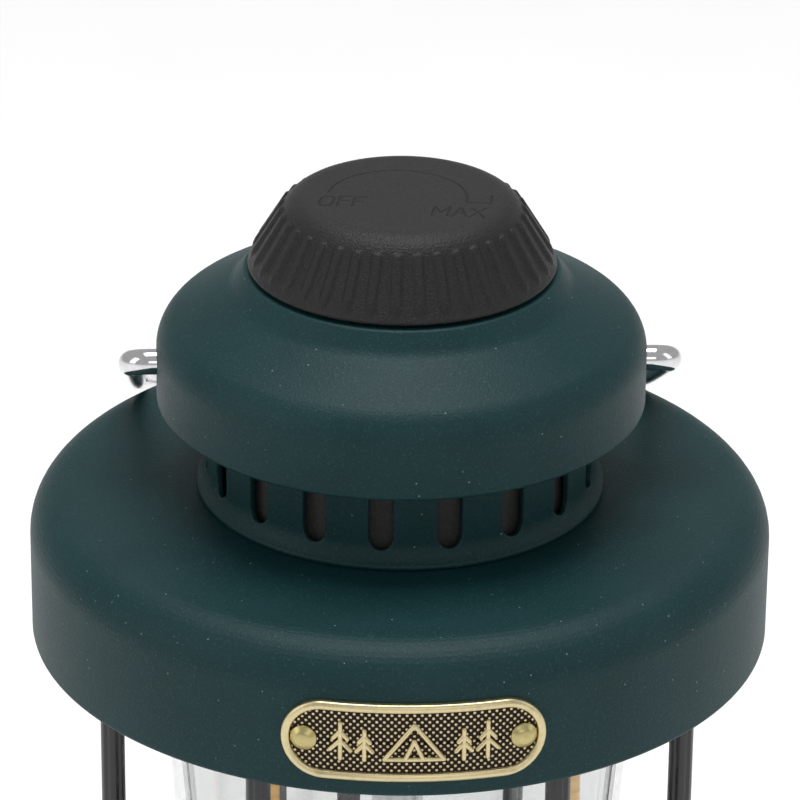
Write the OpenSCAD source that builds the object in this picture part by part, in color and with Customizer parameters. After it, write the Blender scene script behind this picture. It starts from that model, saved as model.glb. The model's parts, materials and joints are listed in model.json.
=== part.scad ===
// Battery camping lantern in the style of an old oil lamp.
// The origin is on the lamp's axis, at the surface it stands on. +Z is up and -Y is the front.

/* [Brim] */
// Diameter of the wide brim
brim_d = 130; // [126:1:160]
// Height of the brim, from its lower edge to its flat top
brim_h = 26.9; // [25:0.5:34]
// Radius of the brim's rounded shoulder
brim_round = 8; // [5:0.5:10]
// Fall of the brim's top from the neck out to its edge
brim_fall = 0.8; // [0:0.1:2]

/* [Neck] */
// Diameter of the slotted neck
neck_d = 68; // [66:0.5:70]
// Height of the neck between the brim and the cap
neck_h = 16.6; // [15:0.2:20]
// Number of vent slots
slot_count = 18; // [12:1:20]
// Width of a vent slot
slot_w = 4.2; // [3:0.1:5]
// Turn of the first slot from the front
slot_phase = -7.8; // [-10:0.1:10]

/* [Cap] */
// Diameter of the cap's skirt
cap_d = 85; // [82:1:96]
// Height of the cap, from its lower edge to the seat under the dial
cap_h = 24.3; // [24:0.5:30]
// Radius of the cap's shoulder
cap_round = 7; // [5:0.5:8]
// Height of the shoulder's corner above the cap's lower edge
cap_shoulder_h = 13.5; // [13:0.5:15]

/* [Dial] */
// Diameter of the dial at its foot
dial_d = 54; // [45:1:65]
// Diameter of the corner of the dial's flat top, before it is rounded
dial_top_d = 38.2; // [32:0.2:44]
// Height of the dial
dial_h = 12.9; // [12:0.5:16]
// Radius of the dial's top edge
dial_round = 5.6; // [2:0.1:6]
// Number of grip ribs on the dial
rib_count = 38; // [24:1:44]
// Diameter of the dimmer's shaft
shaft_d = 6; // [5:0.5:7]

/* [Bail] */
// Diameter of the bail's rod
bail_rod_d = 4.5; // [3.6:0.1:5.4]
// Space between the cap's skirt and each arm of the bail
bail_side = 2.15; // [1.2:0.05:6]
// Reach of the bail, from its pivot to the centre line of its arch
bail_reach = 92; // [90:1:115]
// Height of the bail's pivot above the cap's lower edge
bail_pivot_h = 6.5; // [6:0.1:7.5]

/* [Guard and shade] */
// Clear height between the base's deck and the brim's lower edge
guard_h = 88; // [70:1:110]
// Diameter of the circle that the guard posts stand on
post_circle_d = 102.4; // [96:0.2:103]
// Diameter of a guard post
post_d = 4.4; // [3.6:0.1:5.4]
// Outer diameter of the shade at its top
shade_d = 86; // [82:0.5:90]
// Wall of the shade
shade_wall = 2.4; // [1.6:0.1:3]
// Slope of the shade's wall, in degrees
shade_taper = 4; // [0:0.1:4.5]

/* [Lamp] */
// Diameter of the circle that the light strips stand on
led_circle_d = 62; // [48:0.5:62]
// Width of a light strip
led_w = 2.9; // [2:0.1:3.6]
// Diameter of the tube that the wires run in
wire_tube_d = 9.2; // [7:0.1:11]

/* [Nameplate] */
// Length of the nameplate, measured round the brim
plate_l = 44.6; // [36:0.1:54]
// Height of the nameplate
plate_h = 14.5; // [10:0.1:15]
// Height of the nameplate's middle above the middle of the brim's straight wall
plate_lift = 1.4; // [0:0.1:1.4]
// Distance between the two rivets, measured round the brim
rivet_gap = 36.7; // [30:0.1:38]

/* [Base] */
// Diameter of the base's body
base_d = 122; // [120:1:147]
// Flare of the foot beyond the base's body
foot_flare = 4; // [4:0.5:8]
// Radius of the base's shoulder
base_round = 7; // [4:0.5:8]

/* [Batteries] */
// Diameter of a cell
cell_d = 33.2; // [26:0.1:34.2]
// Length of a cell
cell_h = 61.5; // [50:0.5:74]

/* [Sheet and fits] */
// Thickness of the pressed steel sheet
sheet_t = 1.2; // [1:0.1:1.5]
// Space between pieces that move past each other
move_gap = 0.3; // [0.25:0.05:0.5]
// Radial clearance of a shaft in its bore
run_fit = 0.05; // [0.02:0.01:0.1]
// Clearance of pieces that are fixed to each other
seat_gap = 0.1; // [0.05:0.05:0.2]

/* [Hidden] */
$fn = 96;
TINY = 0.01;
ARC_STEPS = 8;

// Radii of the turned pieces
brim_r = brim_d / 2;
neck_r = neck_d / 2;
cap_r = cap_d / 2;
dial_r = dial_d / 2;
base_r = base_d / 2;
foot_r = base_r + foot_flare;
cell_r = cell_d / 2;
post_ring_r = post_circle_d / 2;
shade_top_r = shade_d / 2;
led_ring_r = led_circle_d / 2;
wire_tube_r = wire_tube_d / 2;
rod_r = bail_rod_d / 2;
arm_x = cap_r + bail_side + rod_r;
shaft_r = shaft_d / 2;

// Fasteners
pilot_r = 1.25;
screw_hole_r = 1.7;
screw_head_r = 2.7;
screw_head_h = 1.7;
screw_drive_r = 1.3;

// Three cells standing in a triangle, in sleeves of the holder
cell_gap = 1.6;
sleeve_t = 1.1;
sleeve_r = cell_r + 0.5 + sleeve_t;
cell_ring_r = (cell_d + 2 * 0.5 + cell_gap) / sqrt(3);
opening_r = cell_ring_r + cell_r + 3.6;
cell_turn = 45;

// Heights in the base, from the ground up
foot_pad_t = 3;
door_z = 1.4;
door_t = 2.8;
ledge_t = 1.4;
lug_z = door_z + ledge_t + move_gap;
lug_t = door_z + door_t - lug_z;
seal_t = 0.3;
floor_z = door_z + door_t + seal_t + move_gap;
floor_t = 2;
bridge_t = 0.4;
spring_h = 4.6;
cell_z = floor_z + floor_t + bridge_t + spring_h;
contact_t = 0.8;
holder_top_z = cell_z + cell_h + contact_t;
holder_top_t = 2;
spigot_h = sheet_t + 0.6;
base_h = holder_top_z + holder_top_t + spigot_h;
deck_t = 3;
deck_z = base_h + deck_t;
deck_r = base_r - base_round;
deck_spigot_r = post_ring_r - screw_head_r - 2.1;

// Battery door: three lugs that turn under a ledge
door_r = opening_r + 0.3;
ledge_r = door_r + 0.4;
lug_reach = 2.8;
lug_channel_r = door_r + lug_reach + 0.4;
collar_t = 1.6;
lug_angle = 20;
lug_start = 65;
door_turn = 40;
door_screw_r = lug_channel_r + collar_t + 5;
foot_inner_r = door_screw_r + 5;

// Heights in the head
brim_z = deck_z + guard_h;
brim_top_z = brim_z + brim_h;
cap_z = brim_top_z + neck_h;
cap_top_z = cap_z + cap_h;
dial_gap = 0.5;
dial_z = cap_top_z + dial_gap;
dial_top_z = dial_z + dial_h;
frame_drop = 5;
frame_t = 3;
frame_z = brim_z + frame_drop;
frame_r = brim_r - sheet_t - 0.2;
frame_rim_h = 5;
shoulder_z = brim_top_z - brim_fall - brim_round;

// Shade, between two gaskets
gasket_t = 0.8;
gasket_lip = 1.4;
gasket_lip_h = 2.6;
shade_z0 = deck_z + gasket_t;
shade_z1 = frame_z - gasket_t;
shade_low_r = shade_top_r - (shade_z1 - shade_z0) * tan(shade_taper);

// Light strips, between two plates
led_plate_t = 4;
led_cap_t = 3;
led_turn = 105;
led_count = 3;
led_carrier_w = led_w + 1.4;
led_carrier_t = 1;
led_proud = 0.9;
led_seat = 1.5;
led_z0 = deck_z + led_plate_t - led_seat;
led_z1 = frame_z - led_cap_t + led_seat;
led_plate_r = shade_low_r - shade_wall - 1.2;
led_plate_screw_r = led_plate_r - 8;

// Neck and what hangs in it
spigot_r = neck_r - sheet_t / 2;
spigot_t = 1.2;
spigot_drop = 6;
slot_floor = 3.3;
slot_roof = 2.5;
neck_top = 3;
flare_r = 5;
flare_w = flare_r * (1 - cos(45)) + 0.1;
liner_gap = 0.3;
liner_t = 0.6;
boss_r = 3.4;
head_screw_r = neck_r - 6.2;
flange_t = 1.5;
flange_inner_r = head_screw_r - boss_r - 1;
standoff_r = 3;
standoff_ring_r = dial_r - 9;
board_z = cap_z + 6;
board_t = 1.6;
board_r = neck_r - 8;

// Dimmer
bushing_r = 3.5 * shaft_d / 6;
pot_r = 8;
pot_t = 8;
pot_top_z = cap_top_z - sheet_t;
nut_t = 2.2;
nut_r = bushing_r + 2.3;
bushing_top_z = cap_top_z + nut_t + 0.8;
shaft_z = pot_top_z - pot_t + 1.2;
shaft_top_z = dial_top_z - 3.4;
flat_depth = 1.4;
dial_wall = 2.4;
hub_r = shaft_r + 2.6;
hub_z = bushing_top_z + move_gap;
rib_w = 2.2;
rib_proud = 0.45;
rib_start = 2.6;
rib_end = 2.2;

// Bail, resting on the brim behind the cap
bail_bend_r = 3.6;
bail_arm = bail_reach - arm_x;
bail_pivot_z = cap_z + bail_pivot_h;
bail_end_x = cap_r - sheet_t - 5.2;
rest_gap = 0.4;
bushing_wall = 1.1;
bushing_flange = 1.3;
bushing_lip_r = rod_r + bushing_wall + 1.2;
bushing_inner_x = sqrt(pow(cap_r - sheet_t, 2) - pow(bushing_lip_r, 2)) - 0.05;
clip_t = 1.4;
clip_w = 1.8;

// Guard posts
post_r = post_d / 2;
post_count = 6;
post_bore_h = 8;
flute_r = 0.55;
flute_count = 6;

// Nameplate
plate_z = (brim_z + shoulder_z) / 2 + plate_lift;
plate_ground = 0.5;
plate_proud = 1.2;
plate_rim_w = 1.6;
rivet_r = 2.25;
rivet_pin_r = 1;
rivet_room = 6;

POSTS = [for (i = [1:post_count]) str("guard_post_", i)];
CELLS = [for (i = [1:3]) str("battery_cell_", i)];
CARRIERS = [for (i = [1:led_count]) str("led_carrier_", i)];
STRIPS = [for (i = [1:led_count]) str("led_strip_", i)];

// ---- Helpers ----

// Unit vector from p to q
function way(p, q) = (q - p) / norm(q - p);

// Points of the arc of radius r that rounds the corner b of the path a, b, c
function corner(a, b, c, r) =
    let (
        u = way(b, a),
        v = way(b, c),
        half = acos(u * v) / 2,
        centre = b + (u + v) / norm(u + v) * r / sin(half),
        from = b + u * r / tan(half) - centre,
        to = b + v * r / tan(half) - centre,
        start = atan2(from.y, from.x),
        turn = atan2(from.x * to.y - from.y * to.x, from * to)
    )
    [for (i = [0:ARC_STEPS]) centre + r * [cos(start + turn * i / ARC_STEPS), sin(start + turn * i / ARC_STEPS)]];

// A path of [x, y, radius] with every inner corner rounded to its radius
function rounded(path) =
    let (p = [for (q = path) [q.x, q.y]], last = len(path) - 1)
    [for (i = [0:last])
        each (i == 0 || i == last || path[i].z == 0) ? [p[i]] : corner(p[i - 1], p[i], p[i + 1], path[i].z)];

// The path moved by t to its right, for the other side of a sheet
function beside(path, t) =
    let (last = len(path) - 1)
    [for (i = [0:last])
        let (
            d1 = i == 0 ? way(path[0], path[1]) : way(path[i - 1], path[i]),
            d2 = i == last ? d1 : way(path[i], path[i + 1]),
            n1 = [d1.y, -d1.x],
            n2 = [d2.y, -d2.x]
        )
        path[i] + t * (n1 + n2) / (1 + n1 * n2)];

function reversed(list) = [for (i = [len(list) - 1:-1:0]) list[i]];

// Pressed sheet turned round the axis: path is its outer side, drawn from the axis outwards
module pressed(path) {
    outline = rounded(path);
    rotate_extrude() polygon(concat(outline, reversed(beside(outline, sheet_t))));
}

// Solid turned round the axis, from a path with rounded corners
module turned(path) rotate_extrude() polygon(rounded(path));

// Flat ring or tube from z0 to z1
module ring(outer, inner, z0, z1) {
    translate([0, 0, z0]) difference() {
        cylinder(r = outer, h = z1 - z0);
        translate([0, 0, -1]) cylinder(r = inner, h = z1 - z0 + 2);
    }
}

module disc(r, z0, z1) translate([0, 0, z0]) cylinder(r = r, h = z1 - z0);

// Children at count places round the axis, at radius r, the first at angle start
module around(count, r, start = 0) {
    for (i = [0:count - 1]) rotate(start + i * 360 / count) translate([r, 0, 0]) children();
}

// Pan-head screw with its head's underside at z = 0 and its shank pointing up by length
module screw(length) {
    difference() {
        translate([0, 0, -screw_head_h]) cylinder(r = screw_head_r, h = screw_head_h);
        translate([0, 0, -screw_head_h - 1]) cylinder(r = screw_drive_r, h = 2, $fn = 6);
    }
    cylinder(r = pilot_r, h = length);
}

// ---- Base ----

module foot_ring() {
    color([0.06, 0.06, 0.06])
    turned([
        [foot_inner_r, 0, 0], [foot_r, 0, 1], [foot_r, foot_pad_t, 0],
        [foot_r - sheet_t - seat_gap, foot_pad_t, 0], [foot_r - sheet_t - seat_gap, floor_z, 0],
        [foot_inner_r, floor_z, 0]
    ]);
}

// Floor of the base, with the ledge that holds the battery door's lugs
module base_floor() {
    collar_r = lug_channel_r + collar_t;
    color([0.09, 0.09, 0.09])
    difference() {
        union() {
            ring(foot_r - sheet_t - seat_gap, opening_r + 0.4, floor_z, floor_z + floor_t);
            turned([
                [collar_r, door_z, 0], [collar_r, floor_z + TINY, 0], [lug_channel_r, floor_z + TINY, 0],
                [lug_channel_r, door_z + ledge_t, 0], [ledge_r, door_z + ledge_t, 0], [ledge_r, door_z, 0]
            ]);
        }
        for (i = [0:2]) rotate(i * 120 + lug_start - door_turn - 1)
            translate([0, 0, door_z - 1])
                rotate_extrude(angle = lug_angle + 2)
                    translate([ledge_r - 1, 0]) square([lug_channel_r - ledge_r + 1.2, ledge_t + 1.5]);
        around(3, door_screw_r, 60) disc(screw_hole_r, floor_z - 1, floor_z + floor_t + 1);
    }
}

module base_housing() {
    color([0.13, 0.23, 0.24])
    difference() {
        pressed([
            [deck_spigot_r + seat_gap, base_h, 0], [base_r, base_h, base_round],
            [base_r, foot_pad_t + 15, 9], [foot_r, foot_pad_t + 7, 3], [foot_r, foot_pad_t, 0]
        ]);
        around(post_count, post_ring_r) disc(screw_hole_r, base_h - sheet_t - 1, base_h + 1);
    }
}

// Moulded deck on top of the base, which carries the posts and the lamp
module base_deck() {
    color([0.07, 0.07, 0.07])
    difference() {
        union() {
            turned([
                [0, base_h, 0], [deck_r, base_h, 0], [deck_r, deck_z, 1], [0, deck_z, 0]
            ]);
            disc(deck_spigot_r, base_h - spigot_h, base_h + TINY);
        }
        disc(wire_tube_r, base_h - spigot_h - 1, deck_z + 1);
        around(post_count, post_ring_r) disc(screw_hole_r, base_h - 1, deck_z + 1);
        around(3, led_plate_screw_r, led_turn + 60) disc(pilot_r, deck_z - 4, deck_z + 1);
        around(3, led_plate_screw_r, led_turn) disc(pilot_r, base_h - spigot_h - 1, base_h + 2);
    }
}

// Holder with a sleeve for each cell, a flange on the floor and a plate under the deck
module battery_holder() {
    flange_r = door_screw_r + 5;
    color([0.1, 0.1, 0.1])
    difference() {
        union() {
            disc(flange_r, floor_z + floor_t, floor_z + 2 * floor_t);
            around(3, cell_ring_r, cell_turn) disc(sleeve_r, floor_z + floor_t, holder_top_z + TINY);
            around(3, door_screw_r, 60) disc(boss_r, floor_z + floor_t, floor_z + floor_t + 9);
            disc(cell_ring_r + sleeve_r, holder_top_z, holder_top_z + holder_top_t);
        }
        around(3, cell_ring_r, cell_turn) disc(sleeve_r - sleeve_t, floor_z, holder_top_z);
        around(3, door_screw_r, 60) disc(pilot_r, floor_z, floor_z + floor_t + 7);
        around(3, led_plate_screw_r, led_turn) disc(screw_hole_r, holder_top_z - 1, base_h);
        disc(wire_tube_r, holder_top_z - 1, base_h);
    }
}

module battery_cell(i) {
    nub_h = 1.5;
    nub_r = 4.6;
    color([0.16, 0.17, 0.18])
    rotate(cell_turn + (i - 1) * 120) translate([cell_ring_r, 0, 0]) {
        disc(cell_r, cell_z, cell_z + cell_h - nub_h);
        disc(nub_r, cell_z + cell_h - nub_h - TINY, cell_z + cell_h);
    }
}

// Round door that closes the battery space, with two finger dishes and a bar between them
module battery_door() {
    dish_r = door_r - 10;
    bar_w = 9;
    color([0.08, 0.08, 0.08]) {
        difference() {
            union() {
                disc(door_r, door_z, door_z + door_t);
                for (i = [0:2]) rotate(i * 120 + lug_start) translate([0, 0, lug_z])
                    rotate_extrude(angle = lug_angle)
                        translate([door_r - 1, 0]) square([lug_reach + 1, lug_t]);
            }
            difference() {
                disc(dish_r, door_z - 1, door_z + 1.6);
                translate([-bar_w / 2, -dish_r - 1, door_z - 2]) cube([bar_w, 2 * dish_r + 2, 4]);
            }
        }
    }
}

module door_seal() {
    color([0.05, 0.05, 0.05])
    ring(door_r - 0.8, door_r - 6, door_z + door_t, door_z + door_t + seal_t);
}

// Loose disc on the door that carries the lower contacts and doesn't turn
module contact_carrier() {
    color([0.12, 0.12, 0.12])
    disc(opening_r, floor_z, floor_z + floor_t);
}

module carrier_bridge() {
    color([0.75, 0.6, 0.3])
    around(3, cell_ring_r, cell_turn) disc(9, floor_z + floor_t, floor_z + floor_t + bridge_t);
}

// Spring of round wire: a tube with six sides carried along a helix that narrows upwards
module coil_spring(low_r, high_r, wire_r, height, turns) {
    sides = 6;
    steps = 14;
    n = turns * steps;
    points = [for (i = [0:n]) for (j = [0:sides - 1])
        let (
            a = i * 360 / steps,
            r = low_r + (high_r - low_r) * i / n + wire_r * cos(j * 360 / sides),
            z = wire_r + (height - 2 * wire_r) * i / n + wire_r * sin(j * 360 / sides)
        )
        [r * cos(a), r * sin(a), z]];
    walls = [for (i = [0:n - 1]) for (j = [0:sides - 1])
        let (k = (j + 1) % sides)
        [i * sides + j, (i + 1) * sides + j, (i + 1) * sides + k, i * sides + k]];
    ends = [
        [for (j = [0:sides - 1]) j],
        [for (j = [sides - 1:-1:0]) n * sides + j]
    ];
    polyhedron(points = points, faces = concat(walls, ends), convexity = 6);
}

module contact_springs() {
    color([0.7, 0.7, 0.7])
    around(3, cell_ring_r, cell_turn) translate([0, 0, floor_z + floor_t + bridge_t])
        coil_spring(7, 5.5, 0.5, spring_h, 3);
}

module upper_contacts() {
    color([0.75, 0.6, 0.3])
    around(3, cell_ring_r, cell_turn) disc(8, holder_top_z - contact_t, holder_top_z);
}

module floor_screws() {
    color([0.55, 0.55, 0.56])
    around(3, door_screw_r, 60) translate([0, 0, floor_z]) screw(8);
}

module deck_screws() {
    color([0.55, 0.55, 0.56])
    around(3, led_plate_screw_r, led_turn) translate([0, 0, holder_top_z]) screw(spigot_h + 3);
}

// ---- Guard, shade and lamp ----

module guard_post(i) {
    color([0.05, 0.05, 0.05])
    rotate((i - 1) * 360 / post_count) translate([post_ring_r, 0, deck_z]) difference() {
        linear_extrude(frame_z - deck_z) difference() {
            circle(r = post_r);
            for (k = [0:flute_count - 1]) rotate(k * 360 / flute_count)
                translate([post_r + flute_r * 0.35, 0]) circle(r = flute_r, $fn = 24);
        }
        translate([0, 0, -1]) cylinder(r = pilot_r, h = post_bore_h + 1);
        translate([0, 0, frame_z - deck_z - post_bore_h]) cylinder(r = pilot_r, h = post_bore_h + 1);
    }
}

// Screws that hold both ends of each post
module post_screws() {
    low_l = sheet_t + deck_t + post_bore_h - 1;
    high_l = frame_t + post_bore_h - 1;
    color([0.55, 0.55, 0.56])
    around(post_count, post_ring_r) {
        translate([0, 0, base_h - sheet_t]) screw(low_l);
        translate([0, 0, frame_z + frame_t]) mirror([0, 0, 1]) screw(high_l);
    }
}

// Moulded ring inside the brim, which the posts and the shade's top end in
module upper_frame() {
    boss_z = brim_top_z - spigot_drop;
    color([0.07, 0.07, 0.07])
    difference() {
        union() {
            disc(frame_r, frame_z, frame_z + frame_t);
            ring(frame_r, frame_r - 2, frame_z, frame_z + frame_t + frame_rim_h);
            around(3, head_screw_r, 30) disc(boss_r + 1, frame_z, boss_z);
        }
        disc(wire_tube_r + 2, frame_z - 1, frame_z + frame_t + 1);
        around(post_count, post_ring_r) disc(screw_hole_r, frame_z - 1, frame_z + frame_t + 1);
        around(3, head_screw_r, 30) {
            disc(screw_hole_r, frame_z - 1, boss_z + 1);
            disc(screw_head_r + 0.3, frame_z - 1, frame_z + screw_head_h + 0.4);
        }
        around(3, led_plate_screw_r, led_turn + 60) disc(pilot_r, frame_z - 1, frame_z + frame_t + 1);
        for (side = [-1, 1]) rivet_place(side) translate([0, 0, -rivet_room])
            cylinder(r = rivet_pin_r + 1.4, h = rivet_room);
    }
}

module head_screws() {
    reach = brim_top_z - spigot_drop + 7 - (frame_z + screw_head_h + 0.4);
    color([0.55, 0.55, 0.56])
    around(3, head_screw_r, 30) translate([0, 0, frame_z + screw_head_h + 0.4]) screw(reach);
}

module shade() {
    color([0.85, 0.88, 0.88, 0.35])
    rotate_extrude() polygon([
        [shade_low_r - shade_wall, shade_z0], [shade_low_r, shade_z0],
        [shade_top_r, shade_z1], [shade_top_r - shade_wall, shade_z1]
    ]);
}

// Ring of rubber under or over the shade's end, with a lip outside it
module gasket(r) {
    rotate_extrude() polygon([
        [r - shade_wall - 0.8, 0], [r + gasket_lip + 0.3, 0], [r + gasket_lip + 0.3, gasket_lip_h],
        [r + 0.3, gasket_lip_h], [r + 0.3, gasket_t], [r - shade_wall - 0.8, gasket_t]
    ]);
}

module shade_gasket_lower() {
    color([0.08, 0.08, 0.08]) translate([0, 0, deck_z]) gasket(shade_low_r);
}

module shade_gasket_upper() {
    color([0.08, 0.08, 0.08]) translate([0, 0, frame_z]) mirror([0, 0, 1]) gasket(shade_top_r);
}

// Plate that the light strips stand in or hang from
module led_plate(r, z0, z1, seat_z0, seat_z1, screw_z) {
    slot_l = led_carrier_t + 2 * seat_gap;
    slot_w = led_carrier_w + 2 * seat_gap;
    difference() {
        disc(r, z0, z1);
        disc(wire_tube_r + seat_gap, z0 - 1, z1 + 1);
        around(led_count, led_ring_r, led_turn)
            translate([-slot_l / 2, -slot_w / 2, seat_z0]) cube([slot_l, slot_w, seat_z1 - seat_z0]);
        around(3, led_plate_screw_r, led_turn + 60) {
            disc(screw_hole_r, z0 - 1, z1 + 1);
            disc(screw_head_r + 0.3, screw_z, screw_z + screw_head_h + 1);
        }
    }
}

module led_base_plate() {
    z1 = deck_z + led_plate_t;
    color([0.8, 0.8, 0.8])
    led_plate(led_plate_r, deck_z, z1, led_z0 - seat_gap, z1 + 1, z1 - screw_head_h);
}

module led_top_plate() {
    z0 = frame_z - led_cap_t;
    color([0.8, 0.8, 0.8])
    led_plate(led_plate_r + 3, z0, frame_z, z0 - 1, led_z1 + seat_gap, z0 - 1);
}

module led_plate_screws() {
    color([0.55, 0.55, 0.56])
    around(3, led_plate_screw_r, led_turn + 60) {
        translate([0, 0, deck_z + led_plate_t - screw_head_h]) mirror([0, 0, 1]) screw(4.6);
        translate([0, 0, frame_z - led_cap_t + screw_head_h]) screw(4);
    }
}

// Flat metal strip that carries one light strip
module led_carrier(i) {
    color([0.12, 0.12, 0.12])
    rotate(led_turn + (i - 1) * 360 / led_count)
        translate([led_ring_r - led_carrier_t / 2, -led_carrier_w / 2, led_z0])
            cube([led_carrier_t, led_carrier_w, led_z1 - led_z0]);
}

// Bead of amber resin over the row of diodes, on the carrier's outer face
module led_strip(i) {
    bead_r = (led_w * led_w / 4 + led_proud * led_proud) / (2 * led_proud);
    face_x = led_ring_r + led_carrier_t / 2;
    z0 = deck_z + led_plate_t + 1;
    z1 = frame_z - led_cap_t - 1;
    color([0.97, 0.7, 0.25])
    rotate(led_turn + (i - 1) * 360 / led_count) intersection() {
        translate([face_x + led_proud - bead_r, 0, z0]) cylinder(r = bead_r, h = z1 - z0);
        translate([face_x, -led_w, z0 - 1]) cube([led_w, 2 * led_w, z1 - z0 + 2]);
    }
}

module wire_tube() {
    color([0.8, 0.8, 0.8])
    ring(wire_tube_r, wire_tube_r - 0.8, deck_z, frame_z);
}

module wire_pair() {
    color([0.6, 0.1, 0.08])
    around(2, 1.5) disc(0.9, holder_top_z + 0.2, board_z);
}

// ---- Brim, neck and cap ----

module brim() {
    color([0.13, 0.23, 0.24])
    difference() {
        pressed([
            [spigot_r + seat_gap, brim_top_z, 0], [brim_r, brim_top_z - brim_fall, brim_round],
            [brim_r, brim_z, 0]
        ]);
        for (side = [-1, 1]) rivet_place(side) translate([0, 0, -sheet_t - 3])
            cylinder(r = rivet_pin_r + seat_gap, h = sheet_t + 6);
    }
}

// Frame of one rivet: its axis points out of the brim and z = 0 is on the brim's wall
module rivet_place(side) {
    rotate(-90 + side * rivet_gap / 2 / brim_r * 180 / PI)
        translate([brim_r, 0, plate_z]) rotate([0, 90, 0]) children();
}

// Outline of the nameplate, taken in by inset
module plate_outline(inset) {
    end_r = plate_h / 2 - inset;
    chord = 2 * brim_r * sin(plate_l / 2 / brim_r * 180 / PI);
    x = chord / 2 - plate_h / 2;
    square([2 * x, 2 * end_r], center = true);
    for (side = [-1, 1]) translate([side * x, 0]) circle(r = end_r);
}

// Layer of the nameplate between two radii, inside the outline
module plate_layer(r0, r1, inset) {
    intersection() {
        ring(r1, r0, plate_z - plate_h, plate_z + plate_h);
        translate([0, 0, plate_z]) rotate([90, 0, 0]) linear_extrude(brim_r + 10) plate_outline(inset);
    }
}

module nameplate() {
    color([0.72, 0.6, 0.34])
    difference() {
        plate_layer(brim_r, brim_r + plate_proud, 0);
        plate_layer(brim_r + plate_ground, brim_r + plate_proud + 1, plate_rim_w);
        for (side = [-1, 1]) rivet_place(side) translate([0, 0, -1]) cylinder(r = rivet_pin_r + seat_gap, h = 4);
    }
}

module nameplate_rivets() {
    dome_h = 1.1;
    ball_r = (rivet_r * rivet_r + dome_h * dome_h) / (2 * dome_h);
    color([0.78, 0.66, 0.38])
    for (side = [-1, 1]) rivet_place(side) {
        translate([0, 0, plate_ground]) intersection() {
            translate([0, 0, dome_h - ball_r]) sphere(r = ball_r);
            cylinder(r = rivet_r, h = dome_h + 1);
        }
        translate([0, 0, -sheet_t - 0.8]) cylinder(r = rivet_pin_r, h = sheet_t + 0.8 + plate_ground + TINY);
        translate([0, 0, -sheet_t - 1.4]) cylinder(r = rivet_pin_r + 0.7, h = 0.8);
    }
}

// Slot through a wall at radius r, from z0 to z1, with round ends
module vent_slot(r, z0, z1) {
    w = slot_w / 2;
    translate([r - 3, 0, 0]) rotate([90, 0, 90]) linear_extrude(6) {
        translate([-w, z0 + w]) square([slot_w, z1 - z0 - slot_w]);
        for (z = [z0 + w, z1 - w]) translate([0, z]) circle(r = w);
    }
}

// Slotted neck with a flared foot on the brim and a spigot through it
module vent_neck() {
    top_z = cap_z + neck_top;
    flare_z = brim_top_z + 2.6;
    spigot_z = brim_top_z - spigot_drop;
    color([0.13, 0.23, 0.24])
    difference() {
        union() {
            pressed([
                [wire_tube_r + 2, top_z, 0], [neck_r, top_z, 2],
                [neck_r, flare_z, flare_r], [neck_r + flare_w, flare_z - flare_w, 0]
            ]);
            ring(spigot_r, spigot_r - spigot_t, spigot_z, flare_z + 1.5);
            ring(spigot_r - TINY, flange_inner_r, spigot_z, spigot_z + flange_t);
            around(3, head_screw_r, 30) disc(boss_r, spigot_z, spigot_z + 9);
        }
        for (i = [0:slot_count - 1]) rotate(-90 + slot_phase + i * 360 / slot_count)
            vent_slot(neck_r, brim_top_z + slot_floor, cap_z - slot_roof + slot_w / 2);
        around(3, head_screw_r, 30) disc(pilot_r, spigot_z - 1, spigot_z + 7);
        around(3, standoff_ring_r, 90) disc(screw_hole_r, top_z - 3, top_z + 1);
    }
}

// Dark sleeve behind the slots, which keeps insects out
module vent_liner() {
    outer = spigot_r - spigot_t - liner_gap;
    color([0.13, 0.11, 0.11])
    ring(outer, outer - liner_t, brim_top_z - spigot_drop + flange_t, cap_z + neck_top - sheet_t);
}

module cap_standoffs() {
    z0 = cap_z + neck_top;
    z1 = cap_top_z - sheet_t;
    color([0.6, 0.6, 0.62])
    around(3, standoff_ring_r, 90) difference() {
        disc(standoff_r, z0, z1);
        disc(pilot_r, z0 - 1, z0 + 7);
        disc(pilot_r, z1 - 7, z1 + 1);
    }
}

module neck_screws() {
    color([0.55, 0.55, 0.56])
    around(3, standoff_ring_r, 90) translate([0, 0, cap_z + neck_top - sheet_t]) screw(6);
}

module cap_screws() {
    color([0.55, 0.55, 0.56])
    around(3, standoff_ring_r, 90) translate([0, 0, cap_top_z]) mirror([0, 0, 1]) screw(6.5);
}

// Pressed cap: a seat under the dial, a hollow slope, a round shoulder and a straight skirt
module top_cap() {
    seat_r = dial_r + 0.2;
    slope_z = cap_h - 3.4;
    slope = atan2(slope_z - cap_shoulder_h, cap_r - seat_r - 2.4);
    // The shoulder's rounding starts just under the top of the bushings' lips
    lip_room = cap_shoulder_h - bail_pivot_h - bushing_lip_r + 1.66;
    shoulder_round = min(cap_round, lip_room / tan((90 - slope) / 2));
    color([0.13, 0.23, 0.24])
    difference() {
        pressed([
            [bushing_r + seat_gap, cap_top_z, 0], [seat_r, cap_top_z, 0.8],
            [seat_r + 2.4, cap_z + slope_z, 5], [cap_r, cap_z + cap_shoulder_h, shoulder_round],
            [cap_r, cap_z, 0]
        ]);
        translate([-cap_r - 1, 0, bail_pivot_z]) rotate([0, 90, 0])
            cylinder(r = rod_r + bushing_wall + seat_gap, h = cap_d + 2);
        around(3, standoff_ring_r, 90) disc(screw_hole_r, cap_top_z - 3, cap_top_z + 1);
    }
}

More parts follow.
